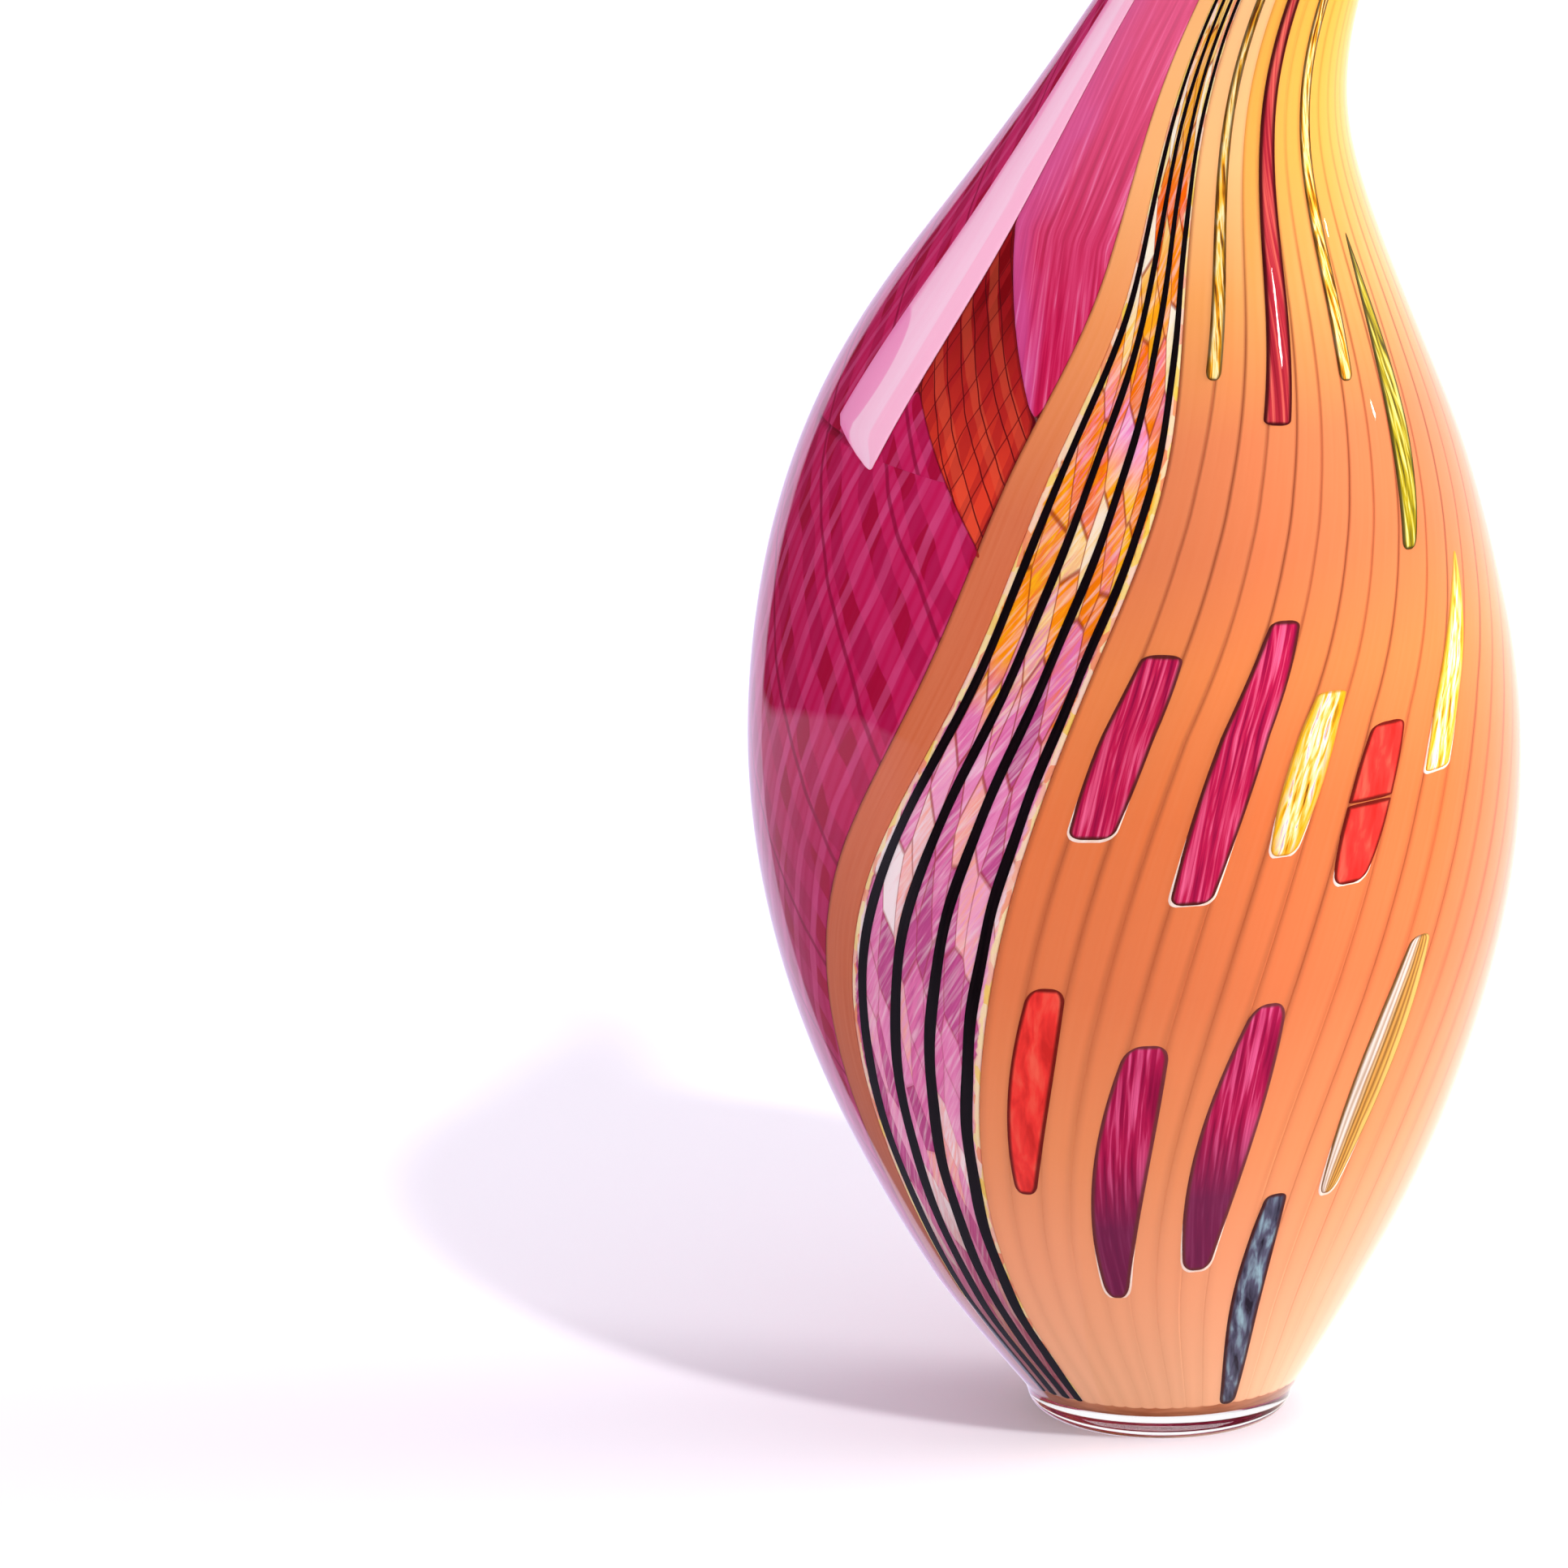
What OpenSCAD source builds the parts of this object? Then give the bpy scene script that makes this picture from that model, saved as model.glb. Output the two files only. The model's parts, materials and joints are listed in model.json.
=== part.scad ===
// Hand blown glass vase: a pear-shaped body of inlaid colour canes, drawn up
// into a long swan neck, on a clear pad foot.

/* [Outline] */
// Height of each section's centre above the table
section_height = [8, 45, 90, 140, 190, 240, 290, 335, 380, 420, 460, 505, 550, 595, 640, 680, 715];
// How far each section's centre leans out along X
section_offset = [0, -2, -4, -6.5, -8.5, -9.5, -6, 0, 9, 24, 45.5, 68, 77, 71, 58, 52, 63];
// Outer radius of each section
section_radius = [38.5, 63, 85.5, 102, 108.5, 104, 89.5, 66, 42.5, 30.5, 22.5, 15.5, 10.5, 7.5, 6, 5, 5];

/* [Twist] */
// Angle of the middle of the black canes at each section, from the front towards +X
section_twist = [-44, -49, -47, -40.5, -30.5, -17.5, -9, -5.5, -8.5, -11.5, -13, -17, -20, -20, -20, -20, -20];
// Half the angle that the murrine ribbon takes up at each section
ribbon_half = [12, 12, 12.5, 13.5, 12, 9.5, 10, 7, 6.5, 6, 6, 6, 6, 6, 6, 6, 6];

/* [Wall] */
// Wall thickness of a vanishingly thin neck
wall_base = 1; // [0.6:0.1:2]
// Extra wall for each millimetre of radius
wall_gain = 0.05; // [0.03:0.01:0.08]
// Share of the wall that is the outer clear casing
casing_share = 0.32; // [0.2:0.01:0.35]
// Share of the wall left open between two layers
layer_gap = 0.11; // [0.1:0.01:0.12]
// Share of the wall that is coloured glass
colour_share = 0.19; // [0.1:0.01:0.25]
// Clear space between neighbouring canes
cane_gap = 0.3; // [0.1:0.1:1]

/* [Foot] */
// Height of the clear pad foot
foot_height = 8; // [6:0.5:8]
// Widest radius of the foot
foot_radius = 37.6; // [34:0.1:38]
// Radius of the flat that is ground and polished to stand on
contact_radius = 30; // [26:0.5:32]
// Height of the lowest point inside the bubble
floor_low = 19; // [16:1:21]

/* [Mouth] */
// Outer radius of the fire-polished lip
lip_radius = 5.1; // [4.8:0.1:6]
// Radius of the opening
mouth_radius = 3.75; // [3:0.05:4]
// Length of the lip along the neck
lip_length = 3; // [2:0.5:5]
// Lean of the neck at the mouth, from upright towards +X
mouth_lean = 17; // [10:1:25]

/* [Canes] */
// Angle from the middle of the black canes to each seam between apricot canes
apricot_seams = [10, 16, 22, 28, 34, 40, 46, 52, 58, 66, 72, 78, 84, 90, 96, 102, 108, 120, 132, 144, 156, 168, 180];
// Section at which the lower ends of the canes are pinched together
cane_start = 0.12; // [0.1:0.01:0.3]
// Section at which the warm colours end in the neck
cane_end = 14.8; // [13:0.1:15]
// Width of the cane along the left of the ribbon, as an angle
edge_cane_angle = 7; // [5:0.5:10]
// Angle from the black canes to the pink cane's near edge
pink_right_angle = 45; // [40:0.5:48]
// Section at which the pink cane ends in a point
pink_tip = 5.75; // [5.6:0.01:5.9]
// Section of the vermilion tiles' lower point
tile_tip = 5.49; // [5.4:0.01:5.6]
// Section of the vermilion tiles' corner beside the edge cane
tile_corner = 6.2; // [6:0.01:6.4]
// Section of the vermilion tiles' upper point
tile_top = 7.17; // [7:0.01:7.3]
// Angle from the black canes to the far edge of the magenta panel
magenta_angle = 110; // [95:1:120]
// Width of one black cane at the widest part of the body, as an angle
black_cane_angle = 2.3; // [1.5:0.1:4]
// Step from one black cane to the next, as a share of half the ribbon
black_cane_step = 0.54; // [0.45:0.01:0.6]
// Section at which the black canes run out in the neck
black_cane_end = 12.5; // [11:0.1:14]
// Section at which the magenta and rose glass ends in the neck
magenta_end = 15.6; // [15:0.1:15.8]
// Angle from the black canes to the pink cane's far edge
pink_left_angle = 63; // [58:0.5:68]
// How fast the pink cane widens above its point, in degrees a section
pink_spread = 115; // [80:1:150]
// Angle from the black canes to the vermilion tiles' lower point
tile_tip_angle = 15; // [12:0.5:20]
// How fast the tiles widen to the left above their lower point, in degrees a section
tile_spread = 40; // [30:1:50]
// How fast the tiles narrow from the right above their corner, in degrees a section
tile_narrowing = 31; // [25:1:40]
// Number of murrine tiles along the ribbon
murrine_rows = 12; // [8:1:20]
// Angle from the black canes to the seam between the pink and rose canes at the back
back_seam_angle = 200; // [190:1:210]

/* [Windows and drips] */
// Half width of the three windows beside the ribbon, as an angle
window_angle = 4.3; // [3:0.1:5]
// Half width of the two lowest magenta windows, as an angle
low_window_angle = 5.8; // [4:0.1:6.5]
// Half width of the amber window and the smoky one
small_window_angle = 3.8; // [3:0.1:5]
// Half width of a drip, as an angle
drip_angle = 2.8; // [2:0.1:4]

/* [Hidden] */
round_steps = 96;
rings_per_section = 2.5;
top_section = len(section_height) - 1;
casing_in = casing_share;
colour_out = casing_share + layer_gap;
colour_in = colour_out + colour_share;
inner_out = colour_in + layer_gap;
// The inlays lie in the gap between the casing and the colour
inlay_out = casing_share + 0.015;
inlay_in = colour_out - 0.01;
// The lower end of the glass layers stands this far above the foot
seat_gap = 0.3;
// Height of the upright band around the top of the foot
foot_band = 2;
// The pinched base is this high, and its edge lies this far inside the foot's
base_height = 2;
base_inset = 8.6;
// Length that the neck's end leaves for the rounded lip, and the lip's start above the neck's end
lip_round = 0.7;
lip_start = 0.4;
// Clearance between an inlay's ends and its sections, and between stacked panels, in sections
end_gap = 0.02;
// Distance that a panel keeps from a corner where it would narrow to nothing, in sections
corner_gap = 0.05;
// Section at which the vermilion tiles reach the pink cane
tiles_meet_pink = tile_tip + (pink_right_angle - tile_tip_angle) / tile_spread;
// Length over which a drip slants, in sections
slant_reach = 1.6;
// Least width of a strip where it comes to a point, as an angle
point_angle = 0.2;
// Sections at which the inner bubble starts outside and inside
bubble_start = 0.08;
floor_start = 0.4;
// Slope of the curve through four neighbouring values, where b and c hold the point
function slope_before(p, i) = i == 0 ? p[1] - p[0] : (p[i + 1] - p[i - 1]) / 2;
function slope_after(p, i) = i == len(p) - 2 ? p[i + 1] - p[i] : (p[i + 2] - p[i]) / 2;
// Smooth curve through a list of values: t = 0 is the first value, t = 1 the second
function smooth(p, t) =
    let (i = min(floor(t), len(p) - 2), f = t - i, g = 1 - f)
    p[i] * (1 + 2 * f) * g * g
    + slope_before(p, i) * f * g * g
    + p[i + 1] * (3 - 2 * f) * f * f
    - slope_after(p, i) * f * f * g;
// Lean of the centre line at t, which is level at the foot
function lean(t) =
    let (a = max(t - 0.02, 0), b = min(t + 0.02, top_section))
    min(t, 1) * atan2(
        smooth(section_offset, b) - smooth(section_offset, a),
        smooth(section_height, b) - smooth(section_height, a));
function wall(t) = wall_base + wall_gain * smooth(section_radius, t);
// Point at section t and angle a, at a share of the wall in from the outside
function skin(t, a, share, lift = 0) =
    let (r = smooth(section_radius, t) - share * wall(t), l = lean(t))
    [smooth(section_offset, t) + r * sin(a) * cos(l),
     -r * cos(a),
     smooth(section_height, t) - r * sin(a) * sin(l) + lift];
function twist(t) = smooth(section_twist, t);
function ribbon(t) = smooth(ribbon_half, t);
// Angle of a seam: where the ribbon is wide it pushes the apricot canes along
function seam(s, t) = twist(t) + (s == apricot_seams[0] ? ribbon(t) : s + max(ribbon(t) - 10, 0));
// Share of the way from a to b, from 0 to 1
function ramp(t, a, b) = min(max((t - a) / (b - a), 0), 1);
// Edges of the panels on the left of the ribbon
function edge_cane_left(t) = twist(t) - ribbon(t) - edge_cane_angle;
function pink_left(t) = twist(t) -
    min(pink_right_angle + pink_spread * (t - pink_tip), pink_left_angle);
function pink_right(t) = twist(t) - pink_right_angle;
function tile_left(t) = max(pink_right(t), twist(t) - tile_tip_angle - tile_spread * (t - tile_tip));
function tile_right(t) = max(pink_right(t), edge_cane_left(t) - max(0, tile_narrowing * (t - tile_corner)));
// Angle that the space between two canes takes up at t
function gap_angle(t) = cane_gap / max(smooth(section_radius, t), 20) / 2 * 180 / PI;
// Section values from a to b, about rings_per_section of them to each section
function steps(a, b) =
    let (n = max(2, ceil((b - a) * rings_per_section)))
    [for (i = [0:n]) a + (b - a) * i / n];
// Faces that join rings of k points each, counted over the whole solid
function band(rings, k) = [
    for (i = [0:rings - 2], j = [0:k - 1])
    let (a = i * k + j, b = i * k + (j + 1) % k)
    each [[a, a + k, b], [b, a + k, b + k]]];
// Closed strip of glass from section a to b, between two edges given as functions of t
module strip(a, b, left, right, columns = 1, outer = colour_out, inner = colour_in) {
    ts = steps(a, b);
    k = 2 * (columns + 1);
    points = [
        for (t = ts)
        let (l = left(t) + gap_angle(t), r = max(right(t) - gap_angle(t), l + point_angle))
        each concat(
            [for (j = [0:columns]) skin(t, l + (r - l) * j / columns, outer)],
            [for (j = [columns:-1:0]) skin(t, l + (r - l) * j / columns, inner)])];
    last = (len(ts) - 1) * k;
    bottom_cap = [for (j = [0:columns - 1]) each [[j, j + 1, k - 1 - j], [j + 1, k - 2 - j, k - 1 - j]]];
    top_cap = [
        for (j = [0:columns - 1])
        each [[last + j, last + k - 1 - j, last + j + 1],
              [last + j + 1, last + k - 1 - j, last + k - 2 - j]]];
    polyhedron(points, concat(bottom_cap, band(len(ts), k), top_cap), convexity = 10);
}
// Faces of a level disc from ring points first to first + n - 1 to the point at its middle
function disc(first, n, middle) = [for (j = [0:n - 1]) [first + j, first + (j + 1) % n, middle]];
function turned(faces) = [for (f = faces) [f[0], f[2], f[1]]];
function shifted(faces, by) = [for (f = faces) f + [by, by, by]];
// Ring faces at the top, from the outer ring to the inner one
function rim(outer, inner, n) = [
    for (j = [0:n - 1])
    let (m = (j + 1) % n)
    each [[outer + j, inner + j, outer + m], [outer + m, inner + j, inner + m]]];
// All the ring points of a surface at a share of the wall, with its lowest ring lifted
function rings(ts, n, share, lift = 0) = [
    for (t = ts, j = [0:n - 1])
    skin(t, j * 360 / n, share, t == ts[0] ? lift : 0)];

// One cane of the apricot field, from the pinched base up into the neck
module field_cane(number) {
    strip(cane_start, cane_end,
        function(t) seam(apricot_seams[number - 1], t),
        function(t) seam(apricot_seams[number], t),
        apricot_seams[number] - apricot_seams[number - 1] > 8 ? 2 : 1);
}
// An inlay above an apricot cane from section a to b, half as wide as the given angle times a share.
// The share is 1 in the middle, low at the lower end and high at the upper one.
// Its middle is drift degrees from the cane's, and slants by some degrees a section above its lower end
module window(number, a, b, half, low, high, drift = 0, slant = 0) {
    cane_middle = (apricot_seams[number - 1] + apricot_seams[number]) / 2;
    middle = function(t) seam(cane_middle, t) + drift + slant * min(t - a, slant_reach);
    up = function(t) ramp(t, a, b);
    reach = function(t) half * (1 - (1 - low) * pow(1 - up(t), 3) - (1 - high) * pow(up(t), 3));
    strip(a + end_gap, b - end_gap,
        function(t) middle(t) - reach(t),
        function(t) middle(t) + reach(t),
        outer = inlay_out, inner = inlay_in);
}
// Middle of black cane i of 4, spread evenly inside the ribbon
function black_middle(i, t) = twist(t) + (i - 2.5) * black_cane_step * ribbon(t);

module clear_foot() {
    belly = foot_height - foot_band;
    color("whitesmoke")
    rotate_extrude($fn = round_steps)
    polygon(concat(
        [[0, 0], [contact_radius, 0]],
        [for (a = [15:15:75]) [
            contact_radius + (foot_radius - contact_radius) * sin(a),
            belly * (1 - cos(a))]],
        [[foot_radius, belly], [foot_radius, foot_height], [0, foot_height]]));
}
module pinched_base() {
    color("sandybrown")
    translate([0, 0, foot_height + seat_gap])
    cylinder(h = base_height, r = foot_radius - base_inset, $fn = round_steps);
}
// The inner bubble: a cup with a thick floor, drawn up to a tube
module inner_gather() {
    n = 24;
    outside = steps(bubble_start, top_section);
    inside = steps(floor_start, top_section);
    a = len(outside) * n;
    b = len(inside) * n;
    middles = [[0, 0, smooth(section_height, bubble_start)], [0, 0, floor_low]];
    color("white")
    polyhedron(concat(rings(outside, n, inner_out), rings(inside, n, 1), middles), concat(
        band(len(outside), n),
        shifted(turned(band(len(inside), n)), a),
        rim(a - n, a + b - n, n),
        disc(0, n, a + b),
        turned(disc(a, n, a + b + 1))), convexity = 10);
}
module clear_casing() {
    n = 36;
    ts = steps(0, top_section);
    a = len(ts) * n;
    color("aliceblue")
    polyhedron(
        concat(rings(ts, n, 0, seat_gap), rings(ts, n, casing_in, seat_gap)),
        concat(
            band(len(ts), n),
            shifted(turned(band(len(ts), n)), a),
            rim(a - n, 2 * a - n, n),
            turned(rim(0, a, n))), convexity = 10);
}
module lip_ring() {
    color("white")
    translate([section_offset[top_section], 0, section_height[top_section]])
    rotate([0, mouth_lean, 0])
    translate([0, 0, lip_start])
    rotate_extrude($fn = round_steps)
    polygon(concat(
        [[mouth_radius, 0], [lip_radius, 0], [lip_radius, lip_length - lip_round]],
        [for (a = [15:15:165]) [
            (lip_radius + mouth_radius) / 2 + (lip_radius - mouth_radius) / 2 * cos(a),
            lip_length - lip_round + lip_round * sin(a)]],
        [[mouth_radius, lip_length - lip_round]]));
}
module apricot_edge_cane() {
    color("sandybrown")
    strip(cane_start, cane_end,
        function(t) edge_cane_left(t),
        function(t) twist(t) - ribbon(t));
}
// Short murrine tiles in three rows below and between the black canes
module murrine_ribbon() {
    reach = (cane_end - cane_start) / murrine_rows;
    color("gold")
    for (i = [0:murrine_rows - 1], row = [-1:1]) {
        strip(cane_start + i * reach, cane_start + (i + 0.97) * reach,
            function(t) twist(t) + ribbon(t) * (row * 2 - 1) / 3,
            function(t) twist(t) + ribbon(t) * (row * 2 + 1) / 3,
            outer = (colour_out + colour_in) / 2 + 0.02);
    }
}
module black_cane(i) {
    color("black")
    strip(cane_start, black_cane_end,
        function(t) black_middle(i, t) - black_cane_angle / 2,
        function(t) black_middle(i, t) + black_cane_angle / 2,
        inner = (colour_out + colour_in) / 2 - 0.02);
}
module magenta_panel() {
    far = function(t) twist(t) - magenta_angle;
    near = function(t) edge_cane_left(t);
    beside_tiles = function(t) tile_left(t);
    beside_pink = function(t) pink_left(t);
    under_pink = function(t) pink_right(t);
    color("mediumvioletred") {
        strip(cane_start, tile_tip, far, near, 10);
        strip(tile_tip + end_gap, pink_tip, far, beside_tiles, 8);
        strip(pink_tip + end_gap, tiles_meet_pink - corner_gap, under_pink, beside_tiles, 2);
        strip(pink_tip + end_gap, magenta_end, far, beside_pink, 5);
    }
}
module pink_cane() {
    color("lightpink")
    strip(pink_tip + end_gap, cane_end, function(t) pink_left(t), function(t) pink_right(t), 2);
}
module vermilion_tile_panel() {
    color("firebrick")
    strip(tile_tip + end_gap, tile_top, function(t) tile_left(t), function(t) tile_right(t), 3);
}
module rose_panel() {
    color("crimson")
    strip(tile_corner + corner_gap, cane_end, function(t) tile_right(t), function(t) edge_cane_left(t), 3);
}
module back_pink_cane() {
    color("lightpink")
    strip(cane_start, cane_end,
        function(t) seam(apricot_seams[len(apricot_seams) - 1], t),
        function(t) twist(t) + back_seam_angle, 2);
}
module back_rose_panel() {
    color("crimson")
    strip(cane_start, magenta_end,
        function(t) twist(t) + back_seam_angle,
        function(t) twist(t) + 360 - magenta_angle, 5);
}
module magenta_window_1() { color("maroon") window(2, 4.12, 5.12, window_angle, 0.8, 0.75); }
module magenta_window_2() { color("maroon") window(5, 3.73, 5.3, window_angle, 0.75, 0.6); }
module magenta_window_3() { color("maroon") window(5, 1.2, 2.92, low_window_angle, 0.45, 0.6); }
module magenta_window_4() { color("maroon") window(8, 1.4, 3.11, low_window_angle, 0.5, 0.45); }
module amber_window() { color("gold") window(7, 3.96, 4.87, small_window_angle, 0.55, 0.7); }
module red_window_upper() { color("red") window(9, 4.2, 4.63, small_window_angle, 1, 0.8); }
module red_window_lower() { color("red") window(9, 3.74, 4.18, small_window_angle, 0.65, 1); }
module red_window_front() { color("red") window(2, 1.95, 3.26, window_angle, 0.5, 0.7); }
module pointed_amber_window() { color("gold") window(11, 4.26, 5.54, small_window_angle, 0.75, 0.15); }
module striped_beige_window() { color("tan") window(12, 1.82, 3.33, window_angle, 0.35, 0.45); }
module smoky_window() { color("slategray") window(10, cane_start, 1.89, window_angle, 0.75, 0.5); }
module amber_drip_1() { color("goldenrod") window(1, 6.6, cane_end, drip_angle, 0.7, 0.4, 2.3); }
module cranberry_cane() { color("firebrick") window(4, 6.37, cane_end, drip_angle, 1, 0.9, -1.2, 1.2); }
module amber_drip_2() { color("goldenrod") window(7, 6.62, cane_end, drip_angle, 0.5, 0.9, -1.2, 1.4); }
module olive_drip() { color("olive") window(9, 5.62, 7.45, drip_angle, 0.4, 0.15, -1, 0.5); }

clear_foot();
pinched_base();
inner_gather();
clear_casing();
lip_ring();
apricot_edge_cane();
murrine_ribbon();
for (i = [1:4]) {
    black_cane(i);
}
magenta_panel();
pink_cane();
vermilion_tile_panel();
rose_panel();
back_pink_cane();
back_rose_panel();
for (i = [1:len(apricot_seams) - 1]) {
    color("sandybrown") field_cane(i);
}
magenta_window_1();
magenta_window_2();
magenta_window_3();
magenta_window_4();
amber_window();
red_window_upper();
red_window_lower();
red_window_front();
pointed_amber_window();
striped_beige_window();
smoky_window();
amber_drip_1();
cranberry_cane();
amber_drip_2();
olive_drip();
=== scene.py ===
# %% [markdown]
# # A hand blown glass vase with a swan neck
#
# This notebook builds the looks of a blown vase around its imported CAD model. The real vase starts as
# glass canes and tiles laid side by side. The maker rolls them up hot around a bubble, dips the whole
# in clear glass, twists it, blows it out and swings the neck long. So everything here lies on one
# swept surface: a pear-shaped body that runs up into an S-shaped neck.

# %% Load the frame
import json

import bpy
import numpy as np

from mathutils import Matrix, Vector

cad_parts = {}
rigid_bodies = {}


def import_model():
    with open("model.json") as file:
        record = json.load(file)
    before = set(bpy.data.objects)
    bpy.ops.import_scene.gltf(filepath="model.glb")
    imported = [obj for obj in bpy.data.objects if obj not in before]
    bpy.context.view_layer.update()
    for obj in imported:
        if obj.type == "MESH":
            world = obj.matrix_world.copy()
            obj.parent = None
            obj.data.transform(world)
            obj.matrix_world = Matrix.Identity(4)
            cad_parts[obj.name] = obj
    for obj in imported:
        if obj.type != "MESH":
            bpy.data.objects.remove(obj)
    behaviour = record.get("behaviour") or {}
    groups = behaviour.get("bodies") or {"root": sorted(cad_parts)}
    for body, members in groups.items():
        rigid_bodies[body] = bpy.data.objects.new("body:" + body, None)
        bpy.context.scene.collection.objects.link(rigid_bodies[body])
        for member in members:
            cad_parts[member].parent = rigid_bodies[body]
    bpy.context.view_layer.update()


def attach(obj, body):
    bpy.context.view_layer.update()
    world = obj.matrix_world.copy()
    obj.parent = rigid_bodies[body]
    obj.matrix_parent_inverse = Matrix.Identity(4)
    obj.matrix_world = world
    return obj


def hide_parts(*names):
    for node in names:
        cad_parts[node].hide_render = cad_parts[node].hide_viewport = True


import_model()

# %% [markdown]
# ## The camera
#
# The vase is seen a little from above, from three metres away, with a long lens, so that its sides
# stay nearly parallel. The body fills the right of the picture and the neck leaves it at the top.
# The camera comes first, because it decides how fine every later shape and pattern has to be.

# %% Camera
MM = 0.001
CAMERA_AIM = np.array([-107.0, 0.0, 183.0]) * MM
CAMERA_DISTANCE = 3.0
CAMERA_DOWN = np.radians(15.0)
CAMERA_LENS = 245.2

camera = bpy.data.objects.new("camera", bpy.data.cameras.new("camera"))
camera.data.lens = CAMERA_LENS
camera.data.sensor_width = 36.0
camera.data.clip_end = 50.0
camera.location = CAMERA_AIM + CAMERA_DISTANCE * np.array([0, -np.cos(CAMERA_DOWN), np.sin(CAMERA_DOWN)])
camera.rotation_euler = (np.pi / 2 - CAMERA_DOWN, 0, 0)
bpy.context.scene.collection.objects.link(camera)
bpy.context.scene.camera = camera
print("camera at", [round(value, 3) for value in camera.location])

# %% [markdown]
# ## The swept surface
#
# Seventeen round sections carry the whole form. Each has a height, an offset along X and an outer
# radius, and a smooth curve runs through them. The canes follow a twist, which is one more list: the
# angle of the middle of the black canes at each section.

# %% Sections
HEIGHT = np.array([8, 45, 90, 140, 190, 240, 290, 335, 380, 420, 460, 505, 550, 595, 640, 680, 715]) * MM
OFFSET = np.array([0, -2, -4, -6.5, -8.5, -9.5, -6, 0, 9, 24, 45.5, 68, 77, 71, 58, 52, 63]) * MM
RADIUS = np.array([
    38.5, 63, 85.5, 102, 108.5, 104, 89.5, 66, 42.5, 30.5, 22.5, 15.5, 10.5, 7.5, 6, 5, 5]) * MM
TWIST = np.radians([
    -44, -49, -47, -40.5, -30.5, -17.5, -9, -5.5, -8.5, -11.5, -13, -17, -20, -20, -20, -20, -20])
RIBBON = np.radians([12, 12, 12.5, 13.5, 12, 9.5, 10, 7, 6.5, 6, 6, 6, 6, 6, 6, 6, 6])
WALL_BASE = 1.0 * MM
WALL_GAIN = 0.05
LAST = len(HEIGHT) - 1.0
FINE = np.linspace(0, LAST, 2001)
LEAN_STEP = 0.01


def spline(values, t):
    """Smooth curve through values at t = 0, 1, 2...

    Between two values it is a cubic, and the bends of neighbouring cubics agree where they meet."""
    t = np.clip(np.asarray(t, float), 0, len(values) - 1)
    count = len(values)
    inner = 4 * np.eye(count - 2) + np.eye(count - 2, k=1) + np.eye(count - 2, k=-1)
    bend = np.zeros(count)
    bend[1:-1] = np.linalg.solve(inner, 6 * np.diff(values, 2))
    i = np.minimum(t.astype(int), count - 2)
    f = t - i
    g = 1 - f
    return g * values[i] + f * values[i + 1] + ((g**3 - g) * bend[i] + (f**3 - f) * bend[i + 1]) / 6


def ramp(t, low, high):
    """Share of the way from low to high, held between 0 and 1."""
    return np.clip((np.asarray(t, float) - low) / (high - low), 0, 1)


def lean(t):
    """Tilt towards +X at t: the angle whose tangent is offset gained over height gained.

    It grows from none over the first section, because the foot stands level."""
    before = np.clip(t - LEAN_STEP, 0, LAST)
    after = np.clip(t + LEAN_STEP, 0, LAST)
    across = spline(OFFSET, after) - spline(OFFSET, before)
    up = spline(HEIGHT, after) - spline(HEIGHT, before)
    return np.arctan2(across, up) * ramp(t, 0, 1)


def wall(t):
    """Thickness of the whole wall: 1 mm and a twentieth of the radius."""
    return WALL_BASE + WALL_GAIN * spline(RADIUS, t)


def on_section(centre_x, centre_z, radius, tilt, angle):
    """Point on a tilted circle: the centre, plus the radius turned by angle from the front towards +X."""
    across = radius * np.sin(angle)
    return np.stack(np.broadcast_arrays(
        centre_x + across * np.cos(tilt),
        -radius * np.cos(angle),
        centre_z - across * np.sin(tilt)), axis=-1)


def in_wall(t, angle, share):
    """Point in the wall at section t, at a share of the wall's thickness in from the outside."""
    radius = spline(RADIUS, t) - share * wall(t)
    return on_section(spline(OFFSET, t), spline(HEIGHT, t), radius, lean(t), angle)


def distance_along(t):
    """Length along the outside of the wall from the foot to t, in metres, added up over short steps."""
    steps = np.hypot(np.hypot(np.diff(spline(HEIGHT, FINE)), np.diff(spline(OFFSET, FINE))),
                     np.diff(spline(RADIUS, FINE)))
    return np.interp(t, FINE, np.concatenate([[0], np.cumsum(steps)]))


print("length along the wall:", round(float(distance_along(LAST)), 3), "m")

# %% [markdown]
# ## From arrays to meshes
#
# A closed solid here is a stack of rings with the same number of points. The faces between two rings
# are quads, and a flat face closes each end. Numpy makes all the points at once, and foreach_set
# writes them into the mesh. Three more arrays give each point its place on the surface: how far it is
# across and along the piece in metres, the same as shares from 0 to 1, and how far it is in from the
# long edges and from the ends. The patterns read those.

# %% Mesh builder
BODY = "root"


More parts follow.
